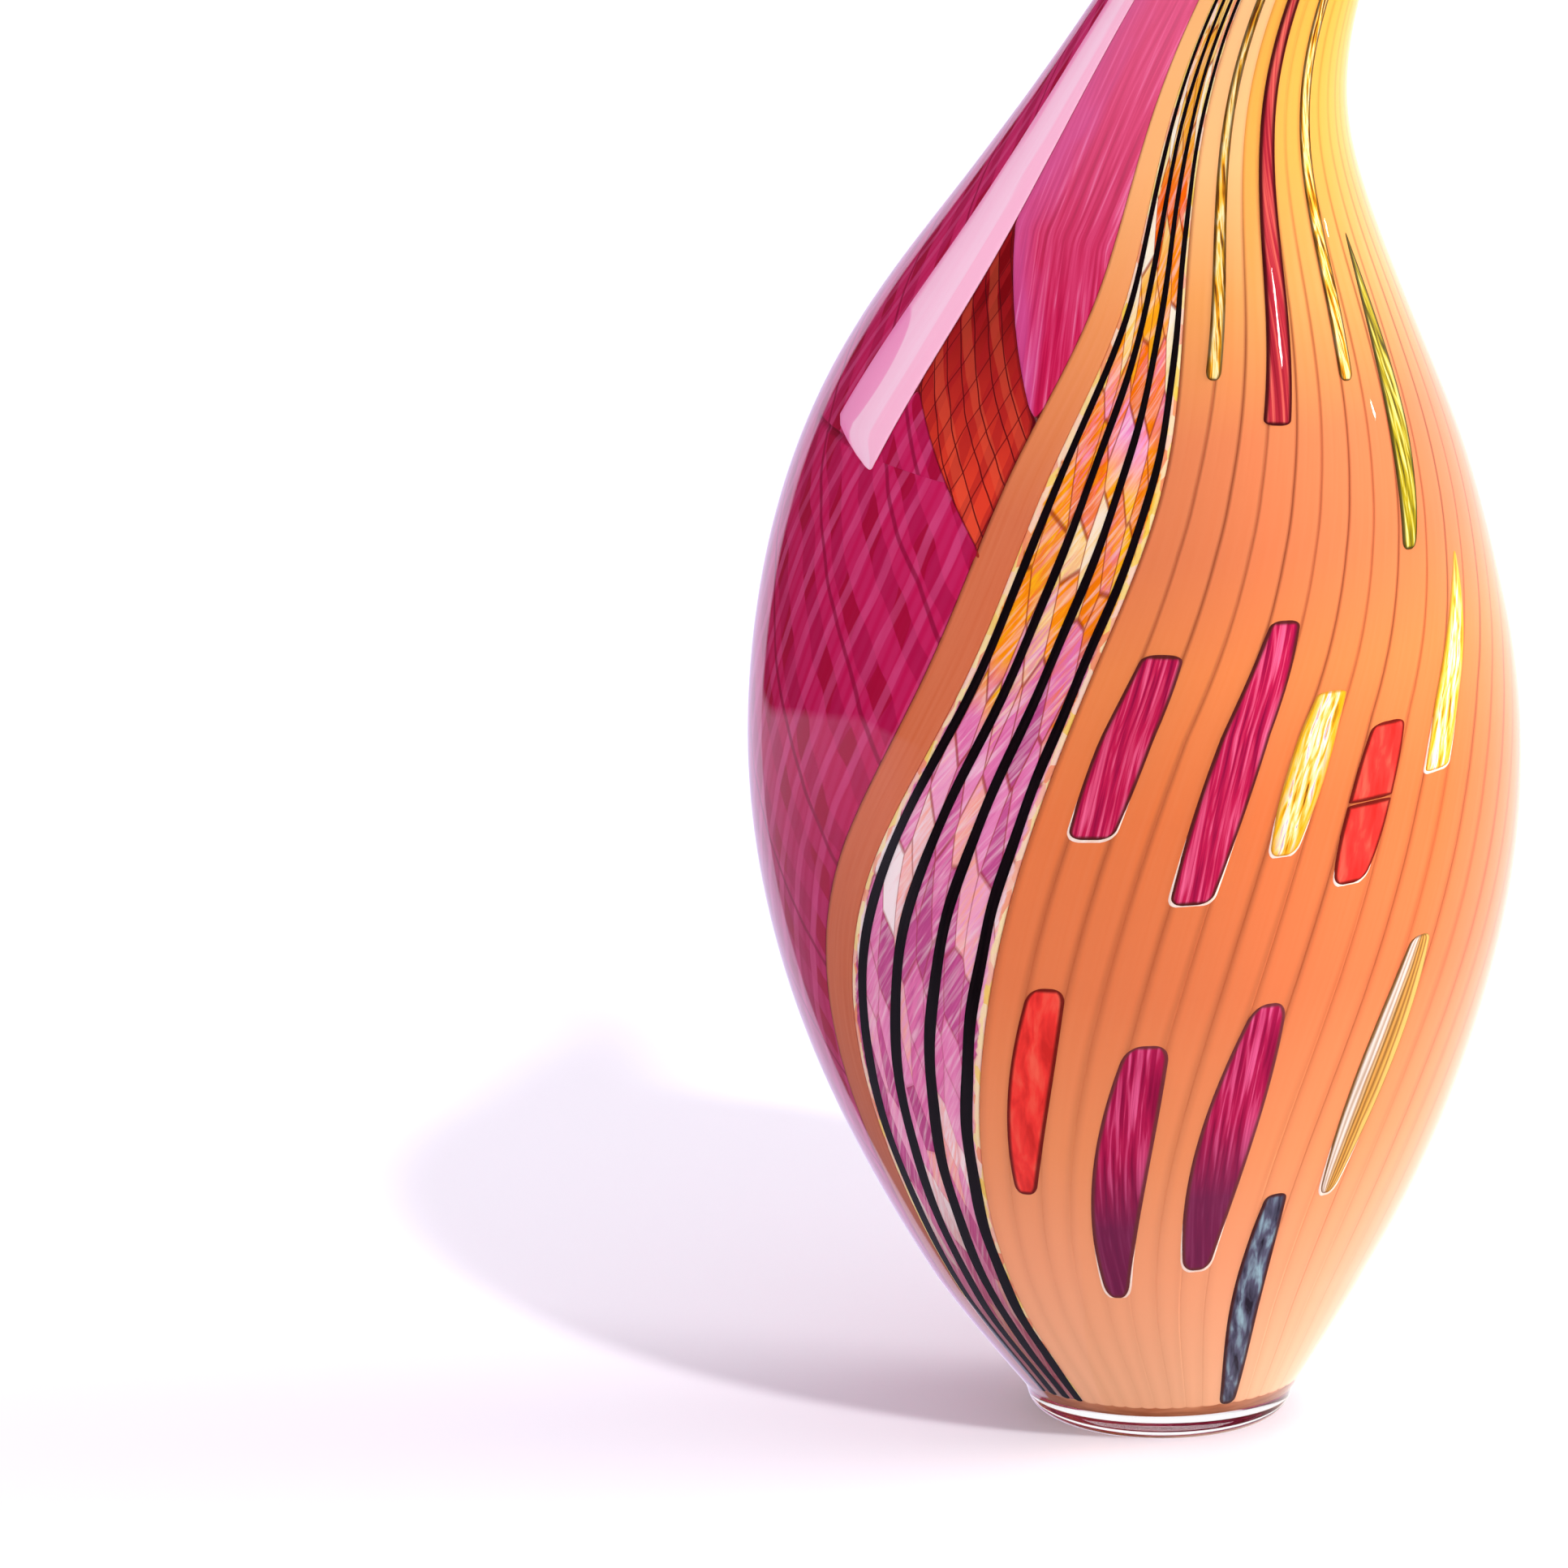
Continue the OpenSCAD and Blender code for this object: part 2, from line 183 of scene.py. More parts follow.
def mesh_from_rings(name, rings, layers=None):
    """A closed solid from an array of rings, shaped (rings, points in a ring, 3).

    Ring i and ring i + 1 are joined by quads (i, j), (i, j + 1), (i + 1, j + 1), (i + 1, j)."""
    count, around = rings.shape[:2]
    grid = np.arange(count * around).reshape(count, around)
    after = np.roll(grid, -1, axis=1)
    quads = np.stack([grid[:-1], after[:-1], after[1:], grid[1:]], axis=-1).reshape(-1, 4)
    mesh = bpy.data.meshes.new(name)
    mesh.vertices.add(count * around)
    mesh.vertices.foreach_set("co", rings.reshape(-1).astype(np.float32))
    corners = np.concatenate([quads.reshape(-1), grid[0][::-1], grid[-1]])
    sizes = np.concatenate([np.full(len(quads), 4), [around, around]])
    mesh.loops.add(len(corners))
    mesh.loops.foreach_set("vertex_index", corners.astype(np.int32))
    mesh.polygons.add(len(sizes))
    mesh.polygons.foreach_set("loop_start", np.concatenate([[0], np.cumsum(sizes)[:-1]]).astype(np.int32))
    mesh.polygons.foreach_set("use_smooth", np.ones(len(sizes), bool))
    mesh.update(calc_edges=True)
    mesh.validate()
    for label, values in (layers or {}).items():
        layer = mesh.uv_layers.new(name=label)
        layer.data.foreach_set("uv", values.reshape(-1, 2)[corners].reshape(-1).astype(np.float32))
    made = bpy.data.objects.new(name, mesh)
    bpy.context.scene.collection.objects.link(made)
    return made


def finish_piece(piece, material, slot, *nodes):
    """Give a piece its material, hang it on the body that it rides on, and hide the CAD parts that it stands
    for.
    """
    piece.data.materials.append(material)
    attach(piece, BODY)
    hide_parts(*nodes)
    return piece


# %% [markdown]
# ## One cane
#
# Every coloured part of the vase is the same kind of thing: a strip of glass between two seams, from
# one section to another, lying in the middle of the wall. Fused glass has no sharp edges, so its
# long edges and its ends are rounded. One function makes them all, from a thread 1 mm wide to the
# broad magenta panel.

# %% Cane builder
COLOUR_OUT = 0.43
COLOUR_IN = 0.62
RING_STEP = 2.2 * MM
RING_MINIMUM = 0.02 * MM
FEWEST_RINGS = 16
ROUNDED_RINGS = 9
SHORT_CANE = 120 * MM
THINNEST = 0.01 * MM


def section_at(distance):
    """The section t at a distance along the wall: the inverse of distance_along."""
    return np.interp(distance, distance_along(FINE), FINE)


def ends_taper(along, length, start_round, end_round, square):
    """Share of full width: near an end it is the root of 1 less the power of the share still to go."""
    near_start = np.clip(1 - along / start_round, 0, 1)
    near_end = np.clip(1 - (length - along) / end_round, 0, 1)
    return np.clip(1 - np.maximum(near_start, near_end)**square, 0.001, 1)**(1 / square)


def cane(name, start, end, left, right, outer=COLOUR_OUT, inner=COLOUR_IN, edge=0.8 * MM,
         start_round=1.0 * MM, end_round=1.0 * MM, square=2.0, columns=6, across=None):
    """A closed strip of glass in the wall, between two sections and between the angles left(t) and right(t).

    Across, the thickness falls off as a quarter ellipse over the edge length. Along, the width and the
    thickness fall off over the end lengths, where the rings stand closer. Outer and inner are shares of
    the wall, in from the outside."""
    length = float(distance_along(end) - distance_along(start))
    steps = np.linspace(0, 1, max(int(length / RING_STEP), FEWEST_RINGS) + 1)
    steps = 0.5 - 0.5 * np.cos(np.pi * steps) if length < SHORT_CANE else steps
    rounded = np.linspace(0, 1, ROUNDED_RINGS)**2
    along = np.unique(np.concatenate([steps * length, rounded * start_round, length - rounded * end_round]))
    along = along[np.concatenate([[True], np.diff(along) > RING_MINIMUM])]
    t = section_at(along + float(distance_along(start)))
    taper = ends_taper(along, length, start_round, end_round, square)[:, None]
    middle = ((left(t) + right(t)) / 2)[:, None]
    half = ((right(t) - left(t)) / 2)[:, None] * taper
    radius = spline(RADIUS, t)[:, None]
    width = np.maximum(half * radius * 2, THINNEST)
    u = np.sin(np.linspace(-np.pi / 2, np.pi / 2, columns * 2 + 1))
    u = np.sign(u) * np.abs(u)**0.8
    from_edge = (1 - np.abs(u))[None, :] * width / 2
    soft = np.minimum(edge, width / 2)
    bulge = np.sqrt(np.clip(1 - np.clip(1 - from_edge / soft, 0, 1)**2, 0, 1)) * taper
    mid_share = (outer + inner) / 2
    half_share = (inner - outer) / 2
    angle = middle + half * u
    top = in_wall(t[:, None], angle, mid_share - half_share * bulge)
    bottom = in_wall(t[:, None], angle, mid_share + half_share * bulge)
    points = np.concatenate([top, bottom[:, -2:0:-1]], axis=1)
    around = np.concatenate([u, u[-2:0:-1]])[None, :]
    angle = middle + half * around
    x = (angle - middle) * radius if across is None else across(t[:, None], angle)
    y = np.broadcast_to(along[:, None], x.shape)
    margin = (1 - np.abs(around)) * width / 2
    to_end = np.minimum(y, length - y)
    layers = {
        "place": np.stack([x, y], axis=-1),
        "share": np.stack([np.broadcast_to(around * 0.5 + 0.5, x.shape), y / length], axis=-1),
        "margin": np.stack([margin, to_end], axis=-1)}
    return mesh_from_rings(name, points, layers)


# %% [markdown]
# ## Colours and shader nodes
#
# Colours are written as sRGB hex values, the way a glass maker's chart shows them, and one function
# turns them to the linear numbers that shaders use. One more function adds a shader node with its
# settings and links.

# %% Colour and node helpers
RAY_SHADOW = 1
RAY_DIFFUSE = 2
RAY_GLOSSY = 3
RAY_TRANSMITTED = 6
OBJECT_PLACE = 3


def linear(code):
    """sRGB hex to linear: a share below 0.04045 is divided by 12.92, and above it a 2.4 power is taken."""
    share = np.array([int(code[i:i + 2], 16) for i in (1, 3, 5)]) / 255
    value = np.where(share <= 0.04045, share / 12.92, ((share + 0.055) / 1.055)**2.4)
    return (*value.tolist(), 1.0)


def node(tree, kind, inputs=None, stops=None, out=0, **settings):
    """Add one shader node and return one of its outputs. Inputs are values, or outputs of other nodes."""
    made = tree.nodes.new("ShaderNode" + kind)
    for key, value in settings.items():
        setattr(made, key, value)
    for key, value in (inputs or {}).items():
        if isinstance(value, bpy.types.NodeSocket):
            tree.links.new(value, made.inputs[key])
        else:
            made.inputs[key].default_value = value
    if stops:
        ramp_elements = made.color_ramp.elements
        while len(ramp_elements) < len(stops):
            ramp_elements.new(0.5)
        for element, (position, code) in zip(ramp_elements, stops):
            element.position = position
            element.color = linear(code)
    return made.outputs[out] if len(made.outputs) else made


def new_material(name):
    """An empty node material and its tree."""
    material = bpy.data.materials.new(name)
    material.use_nodes = True
    material.node_tree.nodes.clear()
    return material, material.node_tree


# %% [markdown]
# ## Clear glass
#
# The clear parts are one melt: foot, casing, inner bubble and lip have no surface between them, so
# light doesn't bend there. That is why they are one solid, with the colour canes inside it. Clear
# soda-lime glass is a smooth dielectric with an index of 1.5. A ray that looks for a lamp passes
# straight through it, because bending lamp light on its way to the canes would take a caustic render.

# %% Clear glass material
def clear_glass():
    """Fire-polished soda-lime glass: colourless, with the slow ripple of hand work on its surface."""
    material, tree = new_material("soda_lime_glass_fire_polished")
    place = node(tree, "TexCoord", out=OBJECT_PLACE)
    ripple = node(tree, "TexNoise", {"Vector": place, "Scale": 22.0, "Detail": 1.0})
    bump = node(tree, "Bump", {"Strength": 0.06, "Distance": 3 * MM, "Height": ripple})
    glass = node(tree, "BsdfPrincipled", {
        "Base Color": linear("#fdfdff"), "Roughness": 0.0, "IOR": 1.5,
        "Transmission Weight": 1.0, "Normal": bump})
    through = node(tree, "BsdfTransparent", {"Color": linear("#fbfbfd")})
    shadow = node(tree, "LightPath", out=RAY_SHADOW)
    diffuse = node(tree, "LightPath", out=RAY_DIFFUSE)
    soft_light = node(tree, "Math", {0: shadow, 1: diffuse}, operation="MAXIMUM")
    mixed = node(tree, "MixShader", {0: soft_light, 1: glass, 2: through})
    node(tree, "OutputMaterial", {"Surface": mixed})
    return material


CLEAR = clear_glass()
print("material:", CLEAR.name)

# %% [markdown]
# ## The glass body
#
# One profile runs the whole way round the glass: out across the ground foot, up its rounded side,
# along the outside of the body and neck, over the fire-polished lip, back down the bore, and across
# the floor of the bubble. Each step of that path is a ring, so the solid is one stack of rings.

# %% Glass body
FOOT_FLAT = 30.0 * MM
FOOT_BELLY = 6.0 * MM
FOOT_WIDE = 37.6 * MM
LIP_LEAN = np.radians(17.0)
LIP_LENGTH = 2.7 * MM
LIP_BEAD = 0.72 * MM
FLOOR_LOW = 19.0 * MM
FLOOR_START = 0.4
AROUND = 96


def glass_body():
    """The clear solid: rings along foot, outside, lip, bore and floor.

    Each row below is a stretch of rings: their centres' x and z, their radii and their tilts."""
    flat = np.linspace(0.02, 1, 8)
    turn = np.radians(np.linspace(8, 82, 10))
    out = np.linspace(0, LAST, 430)
    lip = np.linspace(0.2, 1, 4) * LIP_LENGTH
    bead = np.radians(np.linspace(15, 165, 11))
    bore = np.linspace(LAST, FLOOR_START, 300)
    floor = np.radians(np.linspace(10, 88, 12))
    lip_outer = RADIUS[-1]
    lip_bore = RADIUS[-1] - wall(LAST)
    floor_radius = spline(RADIUS, FLOOR_START) - wall(FLOOR_START)
    floor_high = spline(HEIGHT, FLOOR_START)
    stretches = [
        (0 * flat, 0 * flat, FOOT_FLAT * flat, 0 * flat),
        (0 * turn, FOOT_BELLY * (1 - np.cos(turn)),
         FOOT_FLAT + (FOOT_WIDE - FOOT_FLAT) * np.sin(turn), 0 * turn),
        (spline(OFFSET, out), spline(HEIGHT, out), spline(RADIUS, out), lean(out)),
        (OFFSET[-1] + lip * np.sin(LIP_LEAN), HEIGHT[-1] + lip * np.cos(LIP_LEAN),
         lip_outer + 0 * lip, LIP_LEAN + 0 * lip),
        (OFFSET[-1] + (LIP_LENGTH + LIP_BEAD * np.sin(bead)) * np.sin(LIP_LEAN),
         HEIGHT[-1] + (LIP_LENGTH + LIP_BEAD * np.sin(bead)) * np.cos(LIP_LEAN),
         (lip_outer + lip_bore) / 2 + LIP_BEAD * np.cos(bead), LIP_LEAN + 0 * bead),
        (OFFSET[-1] + lip[::-1] * np.sin(LIP_LEAN), HEIGHT[-1] + lip[::-1] * np.cos(LIP_LEAN),
         lip_bore + 0 * lip, LIP_LEAN + 0 * lip),
        (spline(OFFSET, bore), spline(HEIGHT, bore), spline(RADIUS, bore) - wall(bore), lean(bore)),
        (spline(OFFSET, FLOOR_START) * np.cos(floor), floor_high - (floor_high - FLOOR_LOW) * np.sin(floor),
         floor_radius * np.cos(floor), lean(FLOOR_START) * np.cos(floor)),
    ]
    centre_x, centre_z, radius, tilt = (np.concatenate(column)[:, None] for column in zip(*stretches))
    angle = np.linspace(0, 2 * np.pi, AROUND, endpoint=False)[None, :]
    return mesh_from_rings("clear_glass_body", on_section(centre_x, centre_z, radius, tilt, angle))


body = finish_piece(glass_body(), CLEAR, "clear_glass",
                    "clear_foot", "clear_casing", "inner_gather", "lip_ring")
print("glass body:", len(body.data.polygons), "faces")

# %% [markdown]
# ## Where the seams run
#
# Each seam is an angle that changes along the vase. The ribbon of black canes is the guide: the
# apricot canes lie side by side to its right, each a few degrees wide, and the panels lie to its left.

# %% Seams
DEG = np.pi / 180
APRICOT_SEAMS = [
    10, 16, 22, 28, 34, 40, 46, 52, 58, 66, 72, 78, 84, 90, 96, 102, 108, 120, 132, 144, 156, 168, 180]
NARROW_RIBBON = 10 * DEG
EDGE_CANE = 7 * DEG
CANE_START = 0.12
CANE_END = 14.8
PINK_TIP = 5.75
PINK_RIGHT = 45 * DEG
PINK_LEFT = 63 * DEG
PINK_SWELL = 115 * DEG
TILE_TIP = 5.49
TILE_CORNER = 6.2
TILE_TOP = 7.17
TILE_FIRST = 15 * DEG
TILE_SPREAD = 40 * DEG
TILE_LEAVE = 31 * DEG
MAGENTA_FAR = 110 * DEG


def twist(t):
    """Angle of the middle of the black canes."""
    return spline(TWIST, t)


def ribbon(t):
    """Half the angle that the ribbon takes up."""
    return spline(RIBBON, t)


def seam(degrees, t):
    """Angle of an apricot seam. Where the ribbon is wide it pushes the canes along."""
    if degrees == APRICOT_SEAMS[0]:
        return twist(t) + ribbon(t)
    return twist(t) + degrees * DEG + np.maximum(ribbon(t) - NARROW_RIBBON, 0)


def edge_cane_left(t):
    """Left edge of the apricot strip beside the ribbon."""
    return twist(t) - ribbon(t) - EDGE_CANE


def pink_left(t):
    """Far edge of the pink cane, which swells fast from its tip to its full width."""
    return twist(t) - np.minimum(PINK_RIGHT + PINK_SWELL * (t - PINK_TIP), PINK_LEFT)


def pink_right(t):
    """Near edge of the pink cane."""
    return twist(t) - PINK_RIGHT


def tile_left(t):
    """Far edge of the vermilion tiles, out to the pink cane."""
    return np.maximum(pink_right(t), twist(t) - TILE_FIRST - TILE_SPREAD * (t - TILE_TIP))


def tile_right(t):
    """Near edge of the vermilion tiles, which leaves the edge cane at their corner."""
    return np.maximum(pink_right(t), edge_cane_left(t) - TILE_LEAVE * np.maximum(0, t - TILE_CORNER))


print("seams:", len(APRICOT_SEAMS))

# %% [markdown]
# ## Coloured glass inside clear glass
#
# A coloured cane has no surface of its own once it is cased, because its index is that of the clear
# glass around it. So its shader has no specular at all: dense colour scatters light like paint. In
# the neck the same cane is stretched many times over. Its colour thins out until light runs through
# it, so there it is a tinted transparent shader, which doesn't bend light either. A lamp's light is
# let through in part everywhere, which tints the shadow on the table.

# %% Coloured glass
DIFFUSE_ROUGHNESS = 0.7
LAMP_LET_THROUGH = 0.3


def height_of(tree):
    """Height of the point in metres."""
    return node(tree, "SeparateXYZ", {0: node(tree, "TexCoord", out=OBJECT_PLACE)}, out=2)


def up_the_vase(tree, low, high, first=0.0, last=1.0):
    """A value that runs from first to last between two heights in metres."""
    return node(tree, "MapRange", {
        "Value": height_of(tree), "From Min": low, "From Max": high, "To Min": first, "To Max": last})


def glass_of_colour(name, paint, thin_low=0.40, thin_high=0.56, least=0.3, glow=0.2):
    """Dense coloured glass that thins to a clear tint between two heights.

    The share of paint falls from 1 to least between them, and the rest is a transparent tint."""
    material, tree = new_material(name)
    colour = paint(tree)
    dense = up_the_vase(tree, thin_low, thin_high, 1.0, least)
    lamp = node(tree, "LightPath", out=RAY_SHADOW)
    lamp_share = node(tree, "Math", {0: lamp, 1: -LAMP_LET_THROUGH, 2: 1.0}, operation="MULTIPLY_ADD")
    share = node(tree, "Math", {0: dense, 1: lamp_share}, operation="MULTIPLY")
    painted = node(tree, "BsdfPrincipled", {
        "Base Color": colour, "Roughness": DIFFUSE_ROUGHNESS, "Specular IOR Level": 0.0})
    lit_through = node(tree, "BsdfTranslucent", {"Color": colour})
    scattered = node(tree, "MixShader", {0: glow, 1: painted, 2: lit_through})
    pale = node(tree, "Mix", {0: 0.5, "A": (1, 1, 1, 1), "B": colour}, out=2, data_type="RGBA")
    tint = node(tree, "BsdfTransparent", {"Color": pale})
    mixed = node(tree, "MixShader", {0: share, 1: tint, 2: scattered})
    node(tree, "OutputMaterial", {"Surface": mixed})
    return material


# %% [markdown]
# ## Patterns that follow a cane
#
# Hot glass keeps its pattern as it stretches, so every pattern here is read from a piece's own
# coordinates, with sizes in millimetres. Three patterns do most of the work: streaks drawn out along
# a cane, slanting stripes where two layers of cane cross, and the dark line at a seam.

# %% Cane patterns
TOP_STOP = 0.7


def on_cane(tree, layer, axis):
    """One coordinate of a piece, across (0) or along (1): its place, its share or its margin."""
    return node(tree, "SeparateXYZ", {0: node(tree, "UVMap", uv_map=layer)}, out=axis)


def streaks(tree, wide, long, seed=0.0, detail=2.0, slant=0.0):
    """Noise of a width and a length in metres: across over wide and along over long, sheared by slant."""
    along = on_cane(tree, "place", 1)
    across = node(tree, "Math", {0: along, 1: slant, 2: on_cane(tree, "place", 0)}, operation="MULTIPLY_ADD")
    spot = node(tree, "CombineXYZ", {
        0: node(tree, "Math", {0: across, 1: wide}, operation="DIVIDE"),
        1: node(tree, "Math", {0: along, 1: long}, operation="DIVIDE"), 2: seed})
    return node(tree, "TexNoise", {"Vector": spot, "Scale": 1.0, "Detail": detail, "Distortion": 0.4})


def stripes(tree, spacing, slope, thick, soft, seed=0.0, bend=0.25):
    """Share that is 1 in stripes: across plus slope times along, over the spacing, bent by a slow noise."""
    across, along = on_cane(tree, "place", 0), on_cane(tree, "place", 1)
    drift = node(tree, "TexNoise", {
        "Vector": node(tree, "CombineXYZ", {0: across, 1: along, 2: seed}), "Scale": 28.0})
    phase = node(tree, "Math", {0: along, 1: slope, 2: across}, operation="MULTIPLY_ADD")
    phase = node(tree, "Math", {0: phase, 1: 1 / spacing, 2: seed + 100}, operation="MULTIPLY_ADD")
    phase = node(tree, "Math", {0: drift, 1: bend * 2, 2: phase}, operation="MULTIPLY_ADD")
    wave = node(tree, "Math", {0: phase, 1: 0.5}, operation="PINGPONG")
    return node(tree, "MapRange", {
        "Value": wave, "From Min": thick / 2, "From Max": thick / 2 + soft, "To Min": 1.0, "To Max": 0.0},
        interpolation_type="SMOOTHSTEP")


def outlined(tree, colour, line, wide, strength=0.85):
    """The colour with a line round the piece: full at its rim and gone at a width in metres from it."""
    across, along = on_cane(tree, "margin", 0), on_cane(tree, "margin", 1)
    rim = node(tree, "Math", {0: across, 1: along}, operation="MINIMUM")
    share = node(tree, "MapRange", {
        "Value": rim, "From Min": wide * 0.5, "From Max": wide, "To Min": strength, "To Max": 0.0})
    return node(tree, "Mix", {0: share, "A": colour, "B": linear(line)}, out=2, data_type="RGBA")


def layered(tree, colour, share, strength, over):
    """The colour with another colour laid over it, as much as the share times a strength."""
    amount = node(tree, "Math", {0: share, 1: strength}, operation="MULTIPLY")
    return node(tree, "Mix", {0: amount, "A": colour, "B": linear(over)}, out=2, data_type="RGBA")


def by_height(tree, *stops):
    """A colour for each height: stops are heights in metres with their colours."""
    share = node(tree, "Math", {0: height_of(tree), 1: 1 / TOP_STOP}, operation="MULTIPLY")
    return node(tree, "ValToRGB", {0: share}, stops=[(metres / TOP_STOP, code) for metres, code in stops])


# %% [markdown]
# ## Apricot opal canes
#
# Apricot opal glass gets its colour from selenium, and phosphate makes it milky. Each cane was laid
# against the next, and the surfaces that touched picked up a trace of soot and scale, which shows as
# a soft brown line at every seam. The colour is deep orange round the middle and yellow in the neck,
# where it is stretched thin. Near the foot it is painted pale peach: painted light, thrown up and
# reflected from the white table.

# %% Apricot opal
def paint_apricot(tree, shoulder="#f0a646", neck="#f2b03c", top="#f4bc48"):
    """Orange by height, painted paler near the foot with light from the table, with faint streaks,
    peach ones in the neck, and soft brown at the long edges.
    """
    # The lightest stops, up to 0.10 m, are painted light: the glow that the white table throws up and
    # reflects onto the foot.
    base = by_height(tree, (0.02, "#f9be90"), (0.06, "#f6a878"), (0.10, "#ee945e"), (0.15, "#e57c48"),
                     (0.20, "#e4773e"), (0.24, "#e58244"), (0.27, "#da7848"), (0.30, "#da7c4c"),
                     (0.335, "#e49a50"), (0.37, shoulder), (0.43, neck), (0.5, top), (0.62, "#fde484"))
    base = layered(tree, base, streaks(tree, 1.5 * MM, 60 * MM), 0.12, "#ffbe8a")
    patchy = node(tree, "MapRange", {
        "Value": streaks(tree, 9 * MM, 300 * MM, seed=12.0), "From Min": 0.45, "From Max": 0.6})
    peach = node(tree, "Math", {0: up_the_vase(tree, 0.32, 0.38), 1: patchy}, operation="MULTIPLY")
    base = layered(tree, base, peach, 0.7, "#fbb878")
    reach = up_the_vase(tree, 0.12, 0.26, 3.2 * MM, 1.3 * MM)
    soft_line = node(tree, "MapRange", {
        "Value": on_cane(tree, "margin", 0), "From Min": 0.2 * MM, "From Max": reach,
        "To Min": 1.0, "To Max": 0.0}, interpolation_type="SMOOTHSTEP")
    strong = up_the_vase(tree, 0.06, 0.28, 0.08, 0.75)
    weak = up_the_vase(tree, 0.325, 0.38, 0.75, 0.22)
    strength = node(tree, "Math", {0: strong, 1: weak}, operation="MINIMUM")
    share = node(tree, "Math", {0: soft_line, 1: strength}, operation="MULTIPLY")
    return node(tree, "Mix", {0: share, "A": base, "B": linear("#94462a")}, out=2, data_type="RGBA")


def paint_apricot_pale(tree):
    """The same, paler in the neck."""
    return paint_apricot(tree, "#f8bc78", "#fcc888", "#fcd494")


APRICOT = glass_of_colour("apricot_opal_glass", paint_apricot, thin_low=0.43)
APRICOT_PALE = glass_of_colour("apricot_opal_glass_pale_neck", paint_apricot_pale, thin_low=0.43)
PALE_CANES = (1, 2)
print("materials:", APRICOT.name, APRICOT_PALE.name)

# %% Apricot canes
TUCK = 0.5 * MM
TUCK_DEPTH = 0.02


def panel(name, start, end, left, right, material, slot, *nodes, **shape):
    """One cane with its material, with the CAD nodes that it stands for hidden; its slot is not used."""
    finish_piece(cane(name, start, end, left, right, **shape), material, slot, *nodes)


def apricot_side(number, side):
    """Edge of a cane: its seam, or for an even cane a little way under its neighbour."""
    degrees = APRICOT_SEAMS[number - 1 if side < 0 else number]
    tuck = TUCK if number % 2 == 0 else 0.0
    return lambda t: seam(degrees, t) + side * tuck / spline(RADIUS, t)


for number in range(1, len(APRICOT_SEAMS)):
    glass = APRICOT_PALE if number in PALE_CANES else APRICOT
    deeper = TUCK_DEPTH if number % 2 == 0 else 0.0
    panel(f"apricot_cane_{number}_glass", CANE_START, CANE_END, apricot_side(number, -1),
          apricot_side(number, 1), glass, "apricot_glass", f"apricot_cane_{number}",
          edge=0.4 * MM, outer=COLOUR_OUT + deeper)
print("apricot canes:", len(APRICOT_SEAMS) - 1)

# %% [markdown]
# ## The strip beside the ribbon and the pinched base
#
# A cane of the same opal, a shade redder, lies along the left of the ribbon. Under the bubble all the
# canes were pinched together, which leaves a shallow bowl of the same glass above the clear foot.

# %% Edge cane
def paint_edge(tree):
    """A redder apricot by height, a little darker at its left edge."""
    base = by_height(tree, (0.0, "#a84c30"), (0.08, "#b85c3c"), (0.2, "#cc6238"), (0.28, "#d0683c"),
                     (0.33, "#ea9450"), (0.37, "#f8b870"), (0.42, "#fcc478"), (0.5, "#fccc78"),
                     (0.62, "#fde690"))
    left = node(tree, "MapRange", {
        "Value": on_cane(tree, "share", 0), "From Min": 0.0, "From Max": 0.12, "To Min": 1.0, "To Max": 0.0})
    base = layered(tree, base, streaks(tree, 1.2 * MM, 40 * MM, detail=4.0), 0.22, "#ffb890")
    return layered(tree, base, left, 0.6, "#6e2418")


EDGE = glass_of_colour("apricot_opal_glass_red_shade", paint_edge)
panel("apricot_edge_cane_glass", CANE_START, CANE_END, edge_cane_left, lambda t: twist(t) - ribbon(t),
      EDGE, "apricot_glass", "apricot_edge_cane")


# %% Pinched base
BASE_RADIUS = 33.0 * MM
BASE_RIM = 13.4 * MM
BASE_SAG = 2.8 * MM
BASE_TOP_RADII = np.array([32.0, 20.0, 1.0]) * MM
BASE_TOP_HEIGHTS = np.array([14.4, 15.0, 15.0]) * MM


def pinched_base():
    """A shallow bowl: its underside is a quarter of an ellipse, and three rings make its flat top."""
    turn = np.radians(np.linspace(88, 0, 16))
    radius = np.concatenate([BASE_RADIUS * np.cos(turn), BASE_TOP_RADII])
    high = np.concatenate([BASE_RIM - BASE_SAG * np.sin(turn), BASE_TOP_HEIGHTS])
    angle = np.linspace(0, 2 * np.pi, 64, endpoint=False)[None, :]
    return mesh_from_rings("pinched_base_glass", on_section(0.0, high[:, None], radius[:, None], 0.0, angle))


def paint_base(tree):
    """Apricot opal in soft clouds, painted lighter than the glass to make up for the shade under the body."""
    cloud = node(tree, "TexNoise", {"Vector": node(tree, "TexCoord", out=OBJECT_PLACE), "Scale": 90.0})
    # Both stops are painted light, paler than the glass, against the shade of the bowl's place under the
    # body.
    return node(tree, "ValToRGB", {0: cloud}, stops=[(0.3, "#cc7c50"), (0.7, "#f0a878")])


BASE = glass_of_colour("apricot_opal_glass_pinched", paint_base)
finish_piece(pinched_base(), BASE, "apricot_glass", "pinched_base")
print("edge cane and pinched base")

# %% [markdown]
# ## Black canes
#
# The four black canes are a dense manganese black. They lie on top of the ribbon tiles, so they sit a
# little nearer the surface. They are about 4 mm wide on the body and thin to hairlines in the neck.

# %% Black canes
BLACK_WIDTH = np.array([
    2.8, 3.8, 4.0, 3.8, 3.3, 2.8, 2.1, 1.6, 1.0, 0.8, 0.6, 0.4, 0.3, 0.2, 0.2, 0.2, 0.2]) * MM
BLACK_SPACING = 0.54
BLACK_WAVER = 0.12
BLACK_END = 12.5


def paint_black(tree):
    """Near black, with a trace of purple where it is thinner."""
    return node(tree, "ValToRGB", {0: streaks(tree, 1 * MM, 30 * MM)}, stops=[
        (0.35, "#070304"), (0.7, "#12070a")])


BLACK = glass_of_colour("manganese_black_glass", paint_black, thin_low=0.50, thin_high=0.58,
                        least=0.4, glow=0.0)


